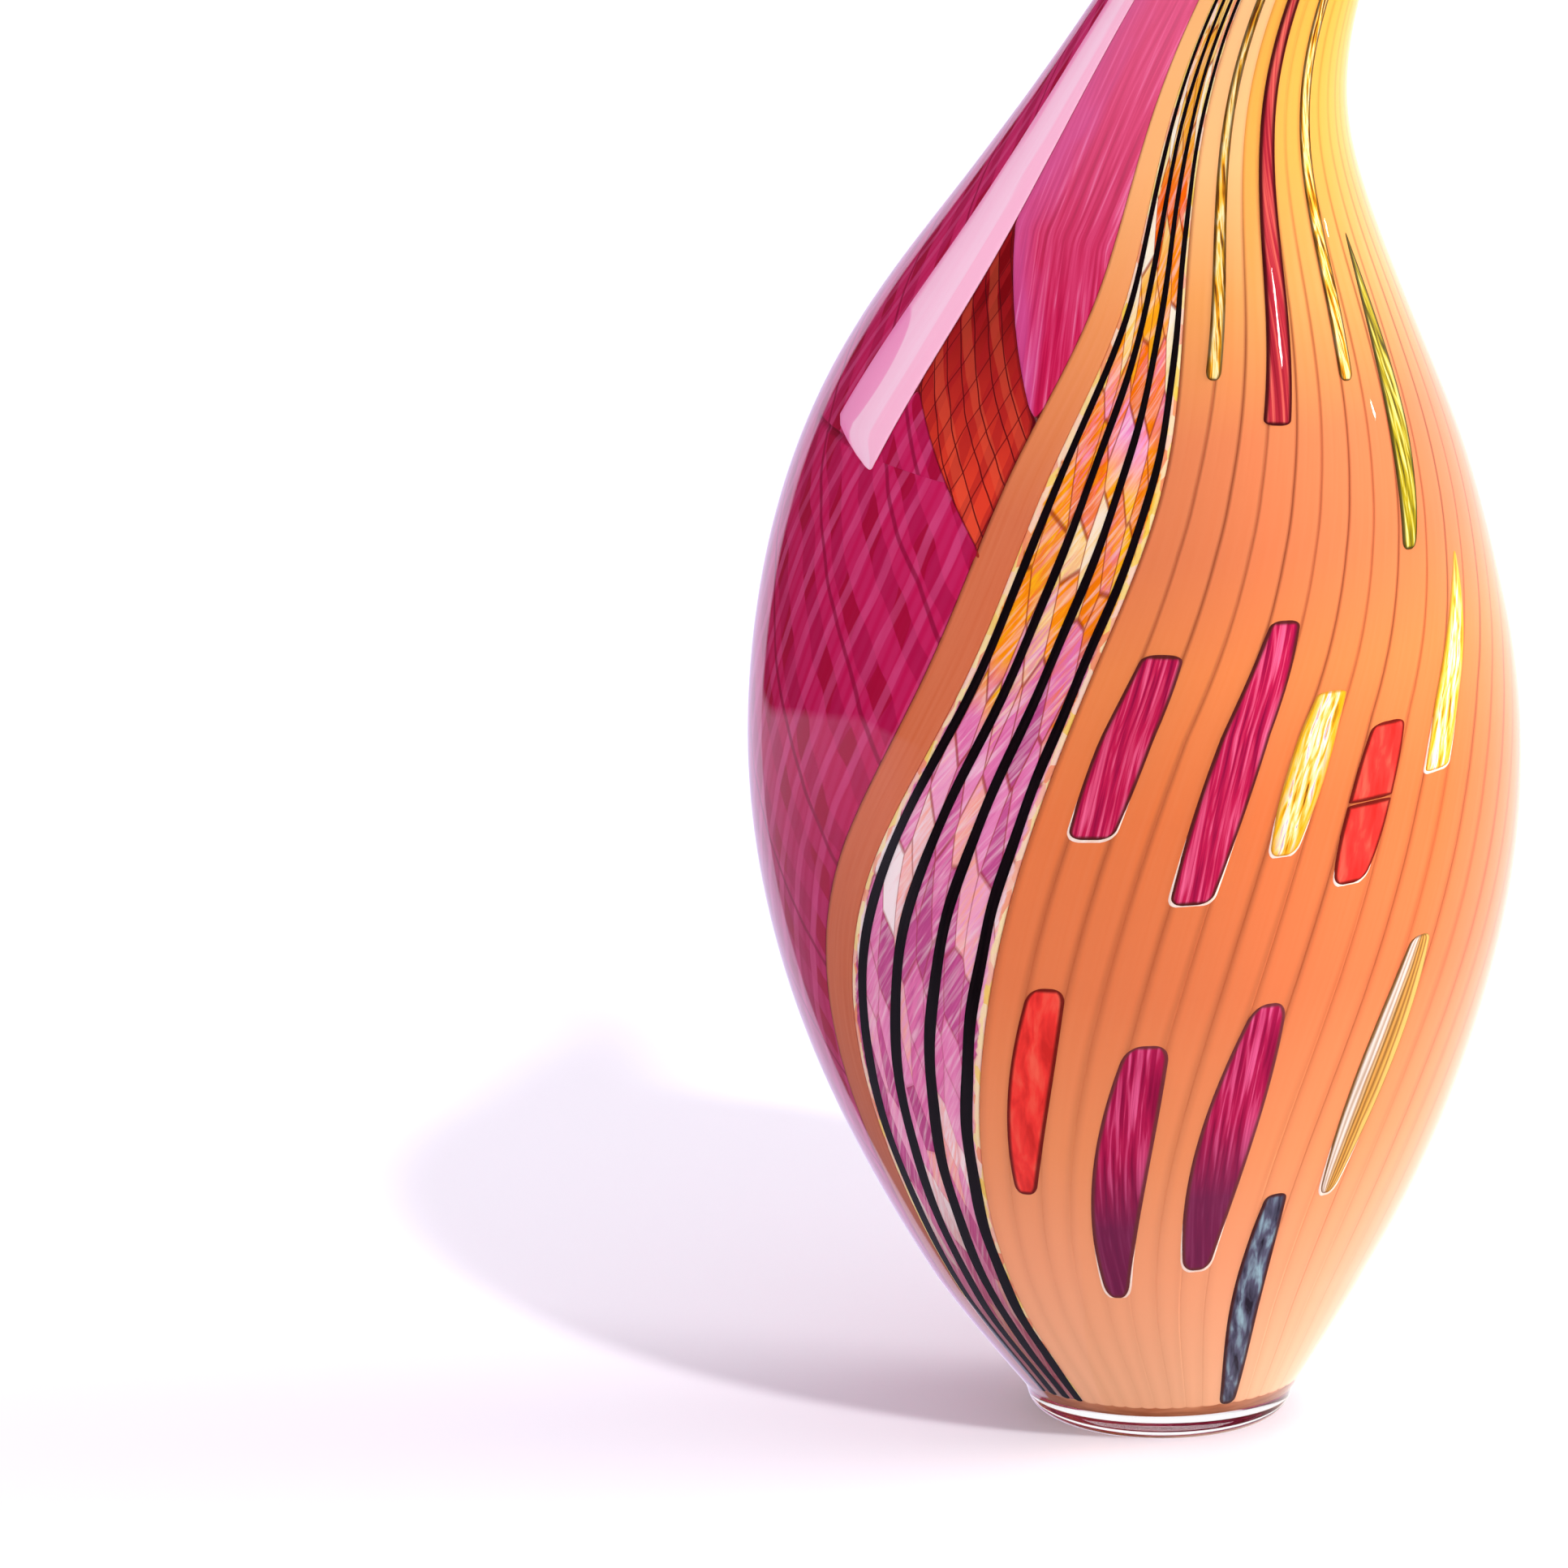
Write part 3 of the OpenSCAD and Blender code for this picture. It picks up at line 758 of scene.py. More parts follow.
def black_side(number, side):
    """Edge of a black cane: its middle, plus or minus half its width over the radius."""
    def edge(t):
        """Angle at t, which wavers by a share of the width, each edge at its own pace."""
        half = spline(BLACK_WIDTH, t) / spline(RADIUS, t) / 2
        waver = BLACK_WAVER * np.sin(t * (5.1 + number) + 2 * side + number * 1.7)
        return twist(t) + (number - 2.5) * BLACK_SPACING * ribbon(t) + side * half * (1 + waver)
    return edge


for number in range(1, 5):
    panel(f"black_cane_{number}_glass", CANE_START, BLACK_END, black_side(number, -1), black_side(number, 1),
          BLACK, "black_glass", f"black_cane_{number}", outer=0.38, inner=0.50, edge=0.5 * MM, columns=4)
print("black canes: 4")

# %% [markdown]
# ## The murrine ribbon
#
# Under the black canes lies a patchwork of short tiles cut from striped canes: pink low on the body,
# orange and yellow higher up, pink again with orange at the shoulder, and cream in the neck. Stretched
# Voronoi cells are a good stand-in for tiles that were squeezed together while soft. A thin red-brown
# line runs where two tiles meet, and small cream tiles edge the ribbon on both sides. Each palette
# below starts at a height in metres, and a tile's random colour comes from the palette at its height.

# %% Murrine tiles
TILE_WIDE = 6.5 * MM
TILE_LONG = 19 * MM
PALETTE_BLEND = 0.012
LOW_PALETTE = [
    (0.0, "#c4508c"), (0.16, "#d4609c"), (0.32, "#ea7ab0"), (0.5, "#f298c4"), (0.62, "#f8b0cc"),
    (0.75, "#fdb09c"), (0.88, "#fbd4d4"), (0.97, "#fff2ee")]
HIGHER_PALETTES = [
    (0.245, [(0.0, "#f07400"), (0.25, "#ff9608"), (0.42, "#ffc410"), (0.58, "#f88428"),
             (0.75, "#e878b4"), (0.95, "#ffe070")]),
    (0.308, [(0.0, "#f87c04"), (0.25, "#f088bc"), (0.42, "#fca8d4"), (0.6, "#f87408"),
             (0.8, "#ffcc1c"), (0.98, "#fff0d0")]),
    (0.336, [(0.0, "#f85c08"), (0.3, "#fb7c04"), (0.55, "#ffa00c"), (0.8, "#ffca24"), (0.97, "#fff0b8")]),
    (0.370, [(0.0, "#f4a21c"), (0.35, "#f8c244"), (0.65, "#fbe494"), (0.9, "#fff8dc")])]


def tiles(tree, wide, long, shear, seed, feature="F1", out=1):
    """Voronoi cells of a width and length in metres, sheared so that a cell climbs as it goes across."""
    across = node(tree, "Math", {0: on_cane(tree, "place", 0), 1: 1 / wide, 2: seed},
                  operation="MULTIPLY_ADD")
    along = node(tree, "Math", {0: on_cane(tree, "place", 1), 1: 1 / long}, operation="MULTIPLY")
    climbed = node(tree, "Math", {0: across, 1: shear, 2: along}, operation="MULTIPLY_ADD")
    spot = node(tree, "CombineXYZ", {0: across, 1: climbed})
    return node(tree, "TexVoronoi", {"Vector": spot, "Scale": 1.0, "Randomness": 0.8}, out=out,
                voronoi_dimensions="2D", feature=feature)


def paint_murrine(tree):
    """Tiles of random colours from a palette that changes with height, with red-brown outlines."""
    pick = node(tree, "SeparateXYZ", {0: tiles(tree, TILE_WIDE, TILE_LONG, 0.8, 3.0)}, out=0)
    border = tiles(tree, TILE_WIDE, TILE_LONG, 0.8, 3.0, feature="DISTANCE_TO_EDGE", out=0)
    fibre = streaks(tree, 1.2 * MM, 9 * MM, seed=2.0, detail=3.0, slant=-0.35)
    tone = node(tree, "Math", {0: fibre, 1: 0.5, 2: pick}, operation="MULTIPLY_ADD")
    tone = node(tree, "Math", {0: tone, 1: 0.25}, operation="SUBTRACT")
    level = node(tree, "Math", {0: pick, 1: 0.05, 2: height_of(tree)}, operation="MULTIPLY_ADD")
    tile = node(tree, "ValToRGB", {0: tone}, stops=LOW_PALETTE)
    for start, stops in HIGHER_PALETTES:
        palette = node(tree, "ValToRGB", {0: tone}, stops=stops)
        share = node(tree, "MapRange", {
            "Value": level, "From Min": start, "From Max": start + PALETTE_BLEND})
        tile = node(tree, "Mix", {0: share, "A": tile, "B": palette}, out=2, data_type="RGBA")
    lift = node(tree, "MapRange", {
        "Value": streaks(tree, 1.6 * MM, 16 * MM, seed=8.0, detail=3.0, slant=-0.5),
        "From Min": 0.48, "From Max": 0.68})
    tile = layered(tree, tile, lift, 0.42, "#fff6f0")
    line = node(tree, "MapRange", {
        "Value": border, "From Min": 0.015, "From Max": 0.05, "To Min": 1.0, "To Max": 0.0})
    faint = up_the_vase(tree, 0.10, 0.22, 0.25, 1.0)
    line = node(tree, "Math", {0: line, 1: faint}, operation="MULTIPLY")
    tile = layered(tree, tile, line, 0.8, "#a83c14")
    tile = layered(tree, tile, up_the_vase(tree, 0.03, 0.09, 1.0, 0.0), 0.7, "#8c4c28")
    small = node(tree, "SeparateXYZ", {0: tiles(tree, 2.6 * MM, 5 * MM, 0.2, 9.0)}, out=1)
    cream = node(tree, "ValToRGB", {0: small}, stops=[
        (0.0, "#fbd84e"), (0.35, "#fff0b0"), (0.6, "#ffe0c8"), (0.85, "#f9a070")])
    inset = node(tree, "Math", {
        0: streaks(tree, 3 * MM, 4 * MM, seed=4.0), 1: -2.4 * MM, 2: on_cane(tree, "margin", 0)},
        operation="MULTIPLY_ADD")
    edge = node(tree, "MapRange", {
        "Value": inset, "From Min": 0.3 * MM, "From Max": 0.8 * MM, "To Min": 0.9, "To Max": 0.0})
    return node(tree, "Mix", {0: edge, "A": tile, "B": cream}, out=2, data_type="RGBA")


def from_ribbon(t, angle):
    """Distance across from the middle of the ribbon, as it measures on the broadest section."""
    return (angle - twist(t)) * RADIUS.max()


MURRINE = glass_of_colour("murrine_tiles_mixed_colours", paint_murrine, thin_low=0.42, least=0.5, glow=0.3)
panel("murrine_ribbon_glass", CANE_START, CANE_END, lambda t: twist(t) - ribbon(t),
      lambda t: twist(t) + ribbon(t), MURRINE, "murrine_glass", "murrine_ribbon",
      outer=0.46, columns=16, across=from_ribbon)
print("material:", MURRINE.name)

# %% [markdown]
# ## The magenta panel
#
# The broad panel on the left is made of wide crimson and pink bands. One layer runs along the seams,
# and the other crosses it at a slant, so their overlaps make diamonds. It stops at the vermilion
# tiles, and a thinner piece of it carries on under them as far as the pink cane.

# %% Magenta panel
MAGENTA_END = 15.6


def paint_magenta(tree):
    """Dark magenta with pale stripes along the seams, dark bands across them and crimson cells."""
    pale = stripes(tree, 10.5 * MM, -0.06, 0.24, 0.06, bend=0.3)
    fine = stripes(tree, 4.3 * MM, 0.0, 0.3, 0.3, seed=7.0)
    dark = stripes(tree, 21 * MM, 1.25, 0.40, 0.03, seed=3.0, bend=0.35)
    thin = stripes(tree, 42 * MM, 1.25, 0.025, 0.02, seed=0.3, bend=0.1)
    cell = stripes(tree, 22 * MM, 0.05, 0.36, 0.03, seed=5.0, bend=0.6)
    base = by_height(tree, (0.0, "#b8305c"), (0.16, "#ac1850"), (0.2, "#bc0e4a"), (0.32, "#c81854"),
                     (0.6, "#dc4a88"))
    base = layered(tree, base, fine, 0.18, "#d0447e")
    base = layered(tree, base, dark, 0.5, "#9c0438")
    crimson = node(tree, "Math", {0: dark, 1: cell}, operation="MULTIPLY")
    base = layered(tree, base, crimson, 0.75, "#a00024")
    patchy = node(tree, "Math", {0: pale, 1: streaks(tree, 14 * MM, 22 * MM, seed=9.0)}, operation="MULTIPLY")
    base = layered(tree, base, patchy, 0.72, "#de5c92")
    base = layered(tree, base, thin, 0.7, "#7c0024")
    return layered(tree, base, streaks(tree, 1.2 * MM, 25 * MM, seed=6.0, detail=4.0), 0.2, "#c02c64")


MAGENTA = glass_of_colour("magenta_glass_crossed_bands", paint_magenta)


def magenta_near(t):
    """Near edge: the edge cane, then the tiles, then the far side of the pink cane."""
    beside_tiles = np.where(t < TILE_TIP, edge_cane_left(t), tile_left(t))
    return np.where(t < PINK_TIP + 0.08, beside_tiles, pink_left(t) + 2 * DEG)


panel("magenta_panel_glass", CANE_START, MAGENTA_END, lambda t: twist(t) - MAGENTA_FAR, magenta_near,
      MAGENTA, "magenta_glass", "magenta_panel", columns=20, across=from_ribbon)
panel("magenta_panel_under_tiles", PINK_TIP - 0.02, TILE_CORNER, pink_right,
      lambda t: np.maximum(tile_left(t), pink_right(t) + 0.1 * DEG), MAGENTA, "magenta_glass",
      across=from_ribbon, columns=8, outer=0.45)
print("material:", MAGENTA.name)

# %% [markdown]
# ## Pink cane, vermilion tiles and rose panel
#
# Above the magenta panel a pale pink cane comes down to a point. Beside it lies a field of vermilion
# tiles with dark lines between them, and then a rose panel full of fine streaks. The pink cane is the
# thickest, so it stands a little prouder in the wall.

# %% Pink cane
LOBE_MIDDLE = (-11.5 * MM, 22 * MM, 0.0)
LOBE_SCALE = (1 / (9.5 * MM), 1 / (20 * MM), 0.0)


def paint_pink(tree):
    """Pale pink with fine lengthwise streaks and a rose lobe at its tip. It deepens to rose towards its
    far edge, which is painted soft shade.
    """
    # The ramp across the cane, deeper towards its far edge, is painted soft shade.
    share = node(tree, "Math", {0: streaks(tree, 5 * MM, 90 * MM), 1: 0.6, 2: on_cane(tree, "share", 0)},
                 operation="MULTIPLY_ADD")
    base = node(tree, "ValToRGB", {0: share}, stops=[
        (0.2, "#fb90c0"), (0.42, "#fea0c8"), (0.5, "#ffc4da"), (0.95, "#ffd2e2"), (1.0, "#ffbcd4")])
    base = layered(tree, base, streaks(tree, 0.8 * MM, 60 * MM, seed=3.0), 0.2, "#ffffff")
    spot = node(tree, "VectorMath", {0: node(tree, "UVMap", uv_map="place"), 1: LOBE_MIDDLE},
                operation="SUBTRACT")
    ellipse = node(tree, "VectorMath", {0: spot, 1: LOBE_SCALE}, operation="MULTIPLY")
    inside = node(tree, "VectorMath", {0: ellipse}, out=1, operation="LENGTH")
    lobe = node(tree, "MapRange", {
        "Value": inside, "From Min": 0.97, "From Max": 1.03, "To Min": 1.0, "To Max": 0.0})
    return layered(tree, base, lobe, 0.6, "#f67cba")


PINK = glass_of_colour("rose_pink_opal_glass", paint_pink, least=0.4)
panel("pink_cane_glass", PINK_TIP + 0.01, CANE_END, pink_left, pink_right, PINK, "pink_glass", "pink_cane",
      outer=0.36, inner=0.55, edge=0.8 * MM, start_round=0.6 * MM, columns=8)


# %% Vermilion tiles
def paint_vermilion(tree):
    """Red-orange tiles with thin dark lines both ways and darker bands, deeper at the top."""
    base = by_height(tree, (0.0, "#e4442a"), (0.285, "#e24028"), (0.31, "#b82820"), (0.333, "#7c060c"),
                     (0.7, "#780810"))
    base = layered(tree, base, stripes(tree, 9 * MM, 0.1, 0.40, 0.04, seed=5.0, bend=0.5), 0.5, "#a81a1e")
    base = layered(tree, base, stripes(tree, 16 * MM, 1.15, 0.30, 0.04, seed=2.5), 0.22, "#ee6a42")
    base = layered(tree, base, stripes(tree, 7.5 * MM, 1.1, 0.05, 0.03, seed=1.0, bend=0.45), 0.9, "#4c080e")
    base = layered(tree, base, stripes(tree, 9 * MM, -0.15, 0.035, 0.02, seed=4.3, bend=0.5), 0.75, "#5c0a10")
    return outlined(tree, base, "#6c0c14", 0.9 * MM, 0.6)


VERMILION = glass_of_colour("vermilion_tiles", paint_vermilion)
panel("vermilion_tiles_glass", TILE_TIP, TILE_TOP, tile_left, tile_right, VERMILION,
      "vermilion_glass", "vermilion_tile_panel", outer=0.40, columns=12, across=from_ribbon,
      start_round=2 * MM, end_round=2 * MM)


# %% Rose panel
BACK_SEAM = 200 * DEG


def paint_rose(tree):
    """Deep rose in long fine streaks, towards lilac at its left and paler in the neck."""
    base = node(tree, "ValToRGB", {0: streaks(tree, 1.6 * MM, 45 * MM, detail=3.0)}, stops=[
        (0.3, "#ac0c3c"), (0.45, "#c81a4e"), (0.58, "#d83c6c"), (0.72, "#ee86ae")])
    side = node(tree, "Math", {
        0: streaks(tree, 8 * MM, 30 * MM, seed=5.0), 1: 0.7, 2: on_cane(tree, "share", 0)},
        operation="MULTIPLY_ADD")
    left = node(tree, "MapRange", {
        "Value": side, "From Min": 0.45, "From Max": 0.8, "To Min": 1.0, "To Max": 0.0})
    base = layered(tree, base, left, 0.5, "#cf5ca4")
    return layered(tree, base, up_the_vase(tree, 0.33, 0.43), 0.6, "#fa7ea6")


ROSE = glass_of_colour("rose_glass_streaked", paint_rose)
panel("rose_panel_glass", TILE_CORNER + 0.05, CANE_END, tile_right, edge_cane_left, ROSE, "rose_glass",
      "rose_panel", outer=0.41, columns=8, start_round=3 * MM)
panel("back_pink_cane_glass", CANE_START, CANE_END, lambda t: seam(APRICOT_SEAMS[-1], t),
      lambda t: twist(t) + BACK_SEAM, PINK, "pink_glass", "back_pink_cane")
panel("back_rose_panel_glass", CANE_START, MAGENTA_END, lambda t: twist(t) + BACK_SEAM,
      lambda t: twist(t) + 2 * np.pi - MAGENTA_FAR, ROSE, "rose_glass", "back_rose_panel", columns=14)
print("panels: pink, vermilion, rose and two at the back")

# %% [markdown]
# ## Windows
#
# The windows are short lengths of striped cane laid over the apricot field. They spread as they were
# rolled in, so they are wider than the cane that they cover. A dark line runs round each. Below the
# lower end of most of them a pale shell is painted in: a painted highlight, where the clear gather over
# it catches the light.

# %% Inlay glass
def inlay_glass(name, dark, middle, light, line, wide=1.3, long=30, low_end=None):
    """Glass streaked in three tones along the piece, with a dark outline and perhaps a darker lower end."""
    def paint(tree):
        """The streaks, then the lower end, then the outline."""
        tone = streaks(tree, wide * MM, long * MM, detail=3.0, slant=0.12)
        base = node(tree, "ValToRGB", {0: tone}, stops=[(0.32, dark), (0.5, middle), (0.68, light)])
        if low_end:
            low = node(tree, "MapRange", {
                "Value": on_cane(tree, "share", 1), "From Min": 0.3, "From Max": 0.6,
                "To Min": 1.0, "To Max": 0.0})
            base = layered(tree, base, low, 0.82, low_end)
        return outlined(tree, base, line, 1.5 * MM, 0.95)
    return glass_of_colour(name, paint, thin_high=0.62)


RASPBERRY = inlay_glass("raspberry_glass_streaked", "#8a0c3c", "#c41c4c", "#ee6890", "#50201a")
PLUM = inlay_glass("raspberry_glass_over_plum", "#8c103c", "#b81c4e", "#e86090", "#6c3434", low_end="#64284a")
RED = inlay_glass("signal_red_glass", "#d42c26", "#f43c34", "#f8624c", "#6a1a12", wide=4, long=14)
CRANBERRY = inlay_glass("cranberry_glass", "#841424", "#b42c38", "#e06858", "#3c0a0c", wide=1.3, long=80)
OLIVE = inlay_glass("olive_glass", "#3c3010", "#b8a41c", "#f0ec90", "#4a3c14", wide=1.3, long=18)
SMOKY = inlay_glass("smoky_grey_glass", "#2a2430", "#5c5c70", "#98b8c0", "#4a2420", wide=2.6, long=12)


def paint_amber(tree):
    """Clear amber with dark flaws, yellow where it is thick at the rim. Its nearly white middle and
    lilac-grey streaks are painted light through the glass and a painted reflection of the surroundings.
    """
    # The pale cream, white and lilac-grey stops are painted light and painted reflection; the dark and yellow
    # ones are the amber's own.
    base = node(tree, "ValToRGB", {0: streaks(tree, 1.5 * MM, 11 * MM, detail=3.0)}, stops=[
        (0.32, "#6c4018"), (0.38, "#e89c14"), (0.45, "#f8c44c"), (0.52, "#fde8a4"), (0.58, "#fbf0d8"),
        (0.63, "#b8acc8"), (0.68, "#f8b820")])
    rim = node(tree, "MapRange", {
        "Value": on_cane(tree, "margin", 0), "From Min": 1.0 * MM, "From Max": 3.2 * MM,
        "To Min": 1.0, "To Max": 0.0})
    return outlined(tree, layered(tree, base, rim, 0.85, "#f9b416"), "#a87828", 0.9 * MM, 0.6)


def paint_beige(tree):
    """Lengthwise stripes from white at the left through tan to gold and brown threads at the right."""
    waver = node(tree, "Math", {0: streaks(tree, 3 * MM, 30 * MM), 1: 0.16, 2: on_cane(tree, "share", 0)},
                 operation="MULTIPLY_ADD")
    base = node(tree, "ValToRGB", {0: waver}, stops=[
        (0.15, "#8c6c48"), (0.22, "#e8dccc"), (0.30, "#b49a80"), (0.37, "#ece0d2"), (0.44, "#a88054"),
        (0.50, "#dcb47c"), (0.56, "#7c5424"), (0.63, "#dca04c"), (0.70, "#8a5c28"), (0.78, "#e4ac50"),
        (0.85, "#94642c"), (0.92, "#e8b860")])
    return outlined(tree, base, "#7c5428", 0.9 * MM, 0.7)


def paint_drip(tree):
    """Clear amber seen edge on, with gold inside and brown flakes. The dark at both sides is painted
    shade of its curved edges, and the near white inside is painted light through the clear glass.
    """
    flakes = streaks(tree, 1.1 * MM, 16 * MM, seed=3.0, detail=3.0, slant=0.08)
    base = node(tree, "ValToRGB", {0: flakes}, stops=[
        (0.34, "#6c3814"), (0.40, "#d88a10"), (0.47, "#f4c040"), (0.53, "#fbe8ac"), (0.59, "#e8a81c"),
        (0.66, "#6c4420")])
    # The dark outline along both sides is painted shade at the drip's curved edges.
    return outlined(tree, base, "#4a2c10", 1.1 * MM, 0.9)


DRIP_AMBER = glass_of_colour("amber_glass_drawn_thin", paint_drip, thin_low=0.5, thin_high=0.62)
AMBER = glass_of_colour("amber_glass_streaked", paint_amber, thin_high=0.62)
BEIGE = glass_of_colour("striped_beige_glass", paint_beige)
print("inlay glasses: 9")


# %% [markdown]
# ### One window
#
# A window is as wide as its greatest half width in degrees, times a share that falls off towards each
# end. The pale shell of painted highlight under it is the lower part of the same outline, a little larger.

# %% Window builder
def paint_highlight_shell(tree):
    """Painted highlight of the clear gather: cream, a little pinker where it is thinner."""
    return node(tree, "ValToRGB", {0: streaks(tree, 2 * MM, 6 * MM)}, stops=[
        (0.3, "#f8d8bc"), (0.7, "#fdeedc")])


HIGHLIGHT_SHELL = glass_of_colour("cream_gather_shell", paint_highlight_shell)
HIGHLIGHT_GROWTH = 0.7 * MM
HIGHLIGHT_DROP = 0.9 * MM
HIGHLIGHT_SHARE = 0.4
SLANT_REACH = 1.6
WINDOW_FORM = dict(outer=0.36, inner=0.58, edge=0.6 * MM, start_round=3.5 * MM, end_round=2.5 * MM,
                   square=2.6, columns=9)


def window(name, number, start, end, half, low, high, material, slot, highlight_shell=True, drift=0, slant=0, **shape):
    """A window over an apricot cane. Its half width is half less what each end takes off.

    The lower end takes off 1 - low by the cube of the share down, and the upper 1 - high by the share up.
    Its middle is drift degrees from the cane's, and slants by some degrees a section above its lower end."""
    cane_middle = (APRICOT_SEAMS[number - 1] + APRICOT_SEAMS[number]) / 2

    def middle(t):
        """Angle of the window's middle."""
        return seam(cane_middle, t) + (drift + slant * np.minimum(t - start, SLANT_REACH)) * DEG

    def reach(t, extra=0.0):
        """Half width as an angle, with some extra metres."""
        up = np.clip((t - start) / (end - start), 0, 1)
        share = 1 - (1 - low) * (1 - up)**3 - (1 - high) * up**3
        return half * share * DEG + extra / spline(RADIUS, t)

    def highlight_reach(t):
        """Half width of the painted highlight shell, which draws in under the window as it goes up."""
        return reach(t, HIGHLIGHT_GROWTH * (1 - 1.5 * ramp(t, start, highlight_top)))

    form = {**WINDOW_FORM, **shape}
    highlight_top = start + HIGHLIGHT_SHARE * (end - start)
    # The shell is a painted highlight, a cream piece under the window's lower end.
    if highlight_shell:
        lower = float(section_at(distance_along(start) - HIGHLIGHT_DROP))
        panel(name + "_shell", lower, highlight_top, lambda t: middle(t) - highlight_reach(t),
              lambda t: middle(t) + highlight_reach(t), HIGHLIGHT_SHELL, slot, outer=0.40, inner=0.6,
              edge=0.5 * MM, square=2.6, start_round=form["start_round"] + 0.8 * MM, columns=8)
    panel(name + "_glass", start, end, lambda t: middle(t) - reach(t),
          lambda t: middle(t) + reach(t), material, slot, name, **form)


# %% Windows
window("magenta_window_1", 2, 4.12, 5.12, 4.3, 0.80, 0.75, RASPBERRY, "magenta_glass")
window("magenta_window_2", 5, 3.73, 5.30, 4.3, 0.75, 0.60, RASPBERRY, "magenta_glass")
window("magenta_window_3", 5, 1.20, 2.92, 5.8, 0.45, 0.60, PLUM, "magenta_glass",
       start_round=6 * MM, end_round=6 * MM)
window("magenta_window_4", 8, 1.40, 3.11, 6.0, 0.50, 0.45, PLUM, "magenta_glass",
       start_round=5 * MM, end_round=6 * MM)
window("amber_window", 7, 3.96, 4.87, 3.7, 0.55, 0.70, AMBER, "amber_glass", end_round=1.5 * MM)
window("red_window_upper", 9, 4.19, 4.63, 4.0, 1.0, 0.80, RED, "red_glass", highlight_shell=False,
       start_round=0.6 * MM)
window("red_window_lower", 9, 3.74, 4.185, 4.0, 0.65, 1.0, RED, "red_glass", end_round=0.6 * MM)
window("red_window_front", 2, 1.95, 3.26, 4.2, 0.50, 0.70, RED, "red_glass", highlight_shell=False,
       start_round=4 * MM, end_round=5 * MM)
window("pointed_amber_window", 11, 4.26, 5.54, 3.5, 0.80, 0.15, AMBER, "amber_glass", start_round=1.5 * MM)
window("striped_beige_window", 12, 1.82, 3.33, 4.8, 0.35, 0.45, BEIGE, "striped_beige_glass",
       start_round=4 * MM)
window("smoky_window", 10, CANE_START, 1.89, 4.6, 0.75, 0.50, SMOKY, "smoky_glass", highlight_shell=False)
print("windows: 11")

# %% [markdown]
# ## Drips in the neck
#
# Four canes of other colours end on the shoulder, where they hang down over the apricot canes like
# drips. They lie nearer the surface than the rest, and three of them run on up the neck as thin lines.

# %% Drips
window("amber_drip_1", 1, 6.6, CANE_END, 2.4, 0.7, 0.4, DRIP_AMBER, "amber_glass", highlight_shell=False, outer=0.32,
       drift=2.3, end_round=1 * MM)
window("cranberry_cane", 4, 6.37, CANE_END, 3.4, 0.90, 0.9, CRANBERRY, "cranberry_glass", highlight_shell=False,
       start_round=2 * MM, end_round=1 * MM, outer=0.33, drift=-1.2, slant=1.2)
window("amber_drip_2", 7, 6.62, CANE_END, 4.2, 0.45, 0.3, DRIP_AMBER, "amber_glass", highlight_shell=False, outer=0.32,
       drift=-1.2, slant=1.4)
window("olive_drip", 9, 5.62, 7.45, 3.8, 0.45, 0.10, OLIVE, "olive_glass", highlight_shell=False, outer=0.32,
       drift=-1, slant=0.5)
print("drips: 4")

# %% [markdown]
# ## Table and light
#
# The vase stands on a plain pale table in soft studio light. A large bright wall of light stands at
# the right, a smaller lamp high at the front right throws the shadow to the left, and a weak wide lamp
# at the left opens up the dark side. Two tiny lamps only make the sparkles on the shoulder.
#
# Lamps light the glass, but it is the surroundings that show in it. So the world is split by kind of
# ray: the glass reflects a bright backdrop behind the vase and dim surroundings elsewhere, which keeps
# the colours deep, with pale rims at both sides. At the left it also has the far part of a bright
# table in it.

# %% Table
def paint_table():
    """White laminate, matte, with a trace of lavender."""
    material, tree = new_material("white_laminate_matte")
    painted = node(tree, "BsdfPrincipled", {
        "Base Color": linear("#f6f3f8"), "Roughness": 0.6, "Specular IOR Level": 0.2})
    node(tree, "OutputMaterial", {"Surface": painted})
    return material


TABLE_HALF = 6.0
corners = np.array([[-1, -1, 0], [1, -1, 0], [1, 1, 0], [-1, 1, 0]]) * TABLE_HALF
table_mesh = bpy.data.meshes.new("table")
table_mesh.from_pydata(corners.tolist(), [], [(0, 1, 2, 3)])
table = bpy.data.objects.new("table", table_mesh)
table.data.materials.append(paint_table())
bpy.context.scene.collection.objects.link(table)
table.visible_glossy = False
print("table:", 2 * TABLE_HALF, "m wide")


# %% Lamps
SHOULDER = (0, 0, 0.35)


def lamp(name, kind, place, aim, energy, wide, shows=False):
    """A lamp at a place, turned to its aim. Wide is a sun's angle in degrees, or a square's side."""
    light = bpy.data.lights.new(name, kind)
    light.energy = energy
    if kind == "SUN":
        light.angle = wide * DEG
    else:
        light.size = wide
    made = bpy.data.objects.new(name, light)
    made.location = place
    made.rotation_euler = (Vector(aim) - Vector(place)).to_track_quat("-Z", "Y").to_euler()
    made.visible_glossy = shows
    made.visible_transmission = False
    bpy.context.scene.collection.objects.link(made)


lamp("high_lamp", "SUN", (0.46, -0.76, 1.0), (0, 0, 0), 1.5, 4)
lamp("wall_of_light", "SUN", (1.0, 0.12, 0.10), (0, 0, 0), 6.5, 40)
lamp("sparkle_1", "AREA", (1.57, -0.76, 1.39), SHOULDER, 0.08, 0.03, shows=True)
lamp("sparkle_2", "AREA", (1.92, 0.38, 0.87), SHOULDER, 0.08, 0.03, shows=True)
lamp("fill", "SUN", (-0.8, -0.55, 0.10), (0, 0, 0), 0.55, 60)
print("lamps: 5")


# %% World
SKY_DIFFUSE = 0.82
SKY_SEEN = 1.1
BACKDROP_GAIN = 1.3
SURROUNDINGS_DIM = 0.06
LEFT_SIDE = -0.3


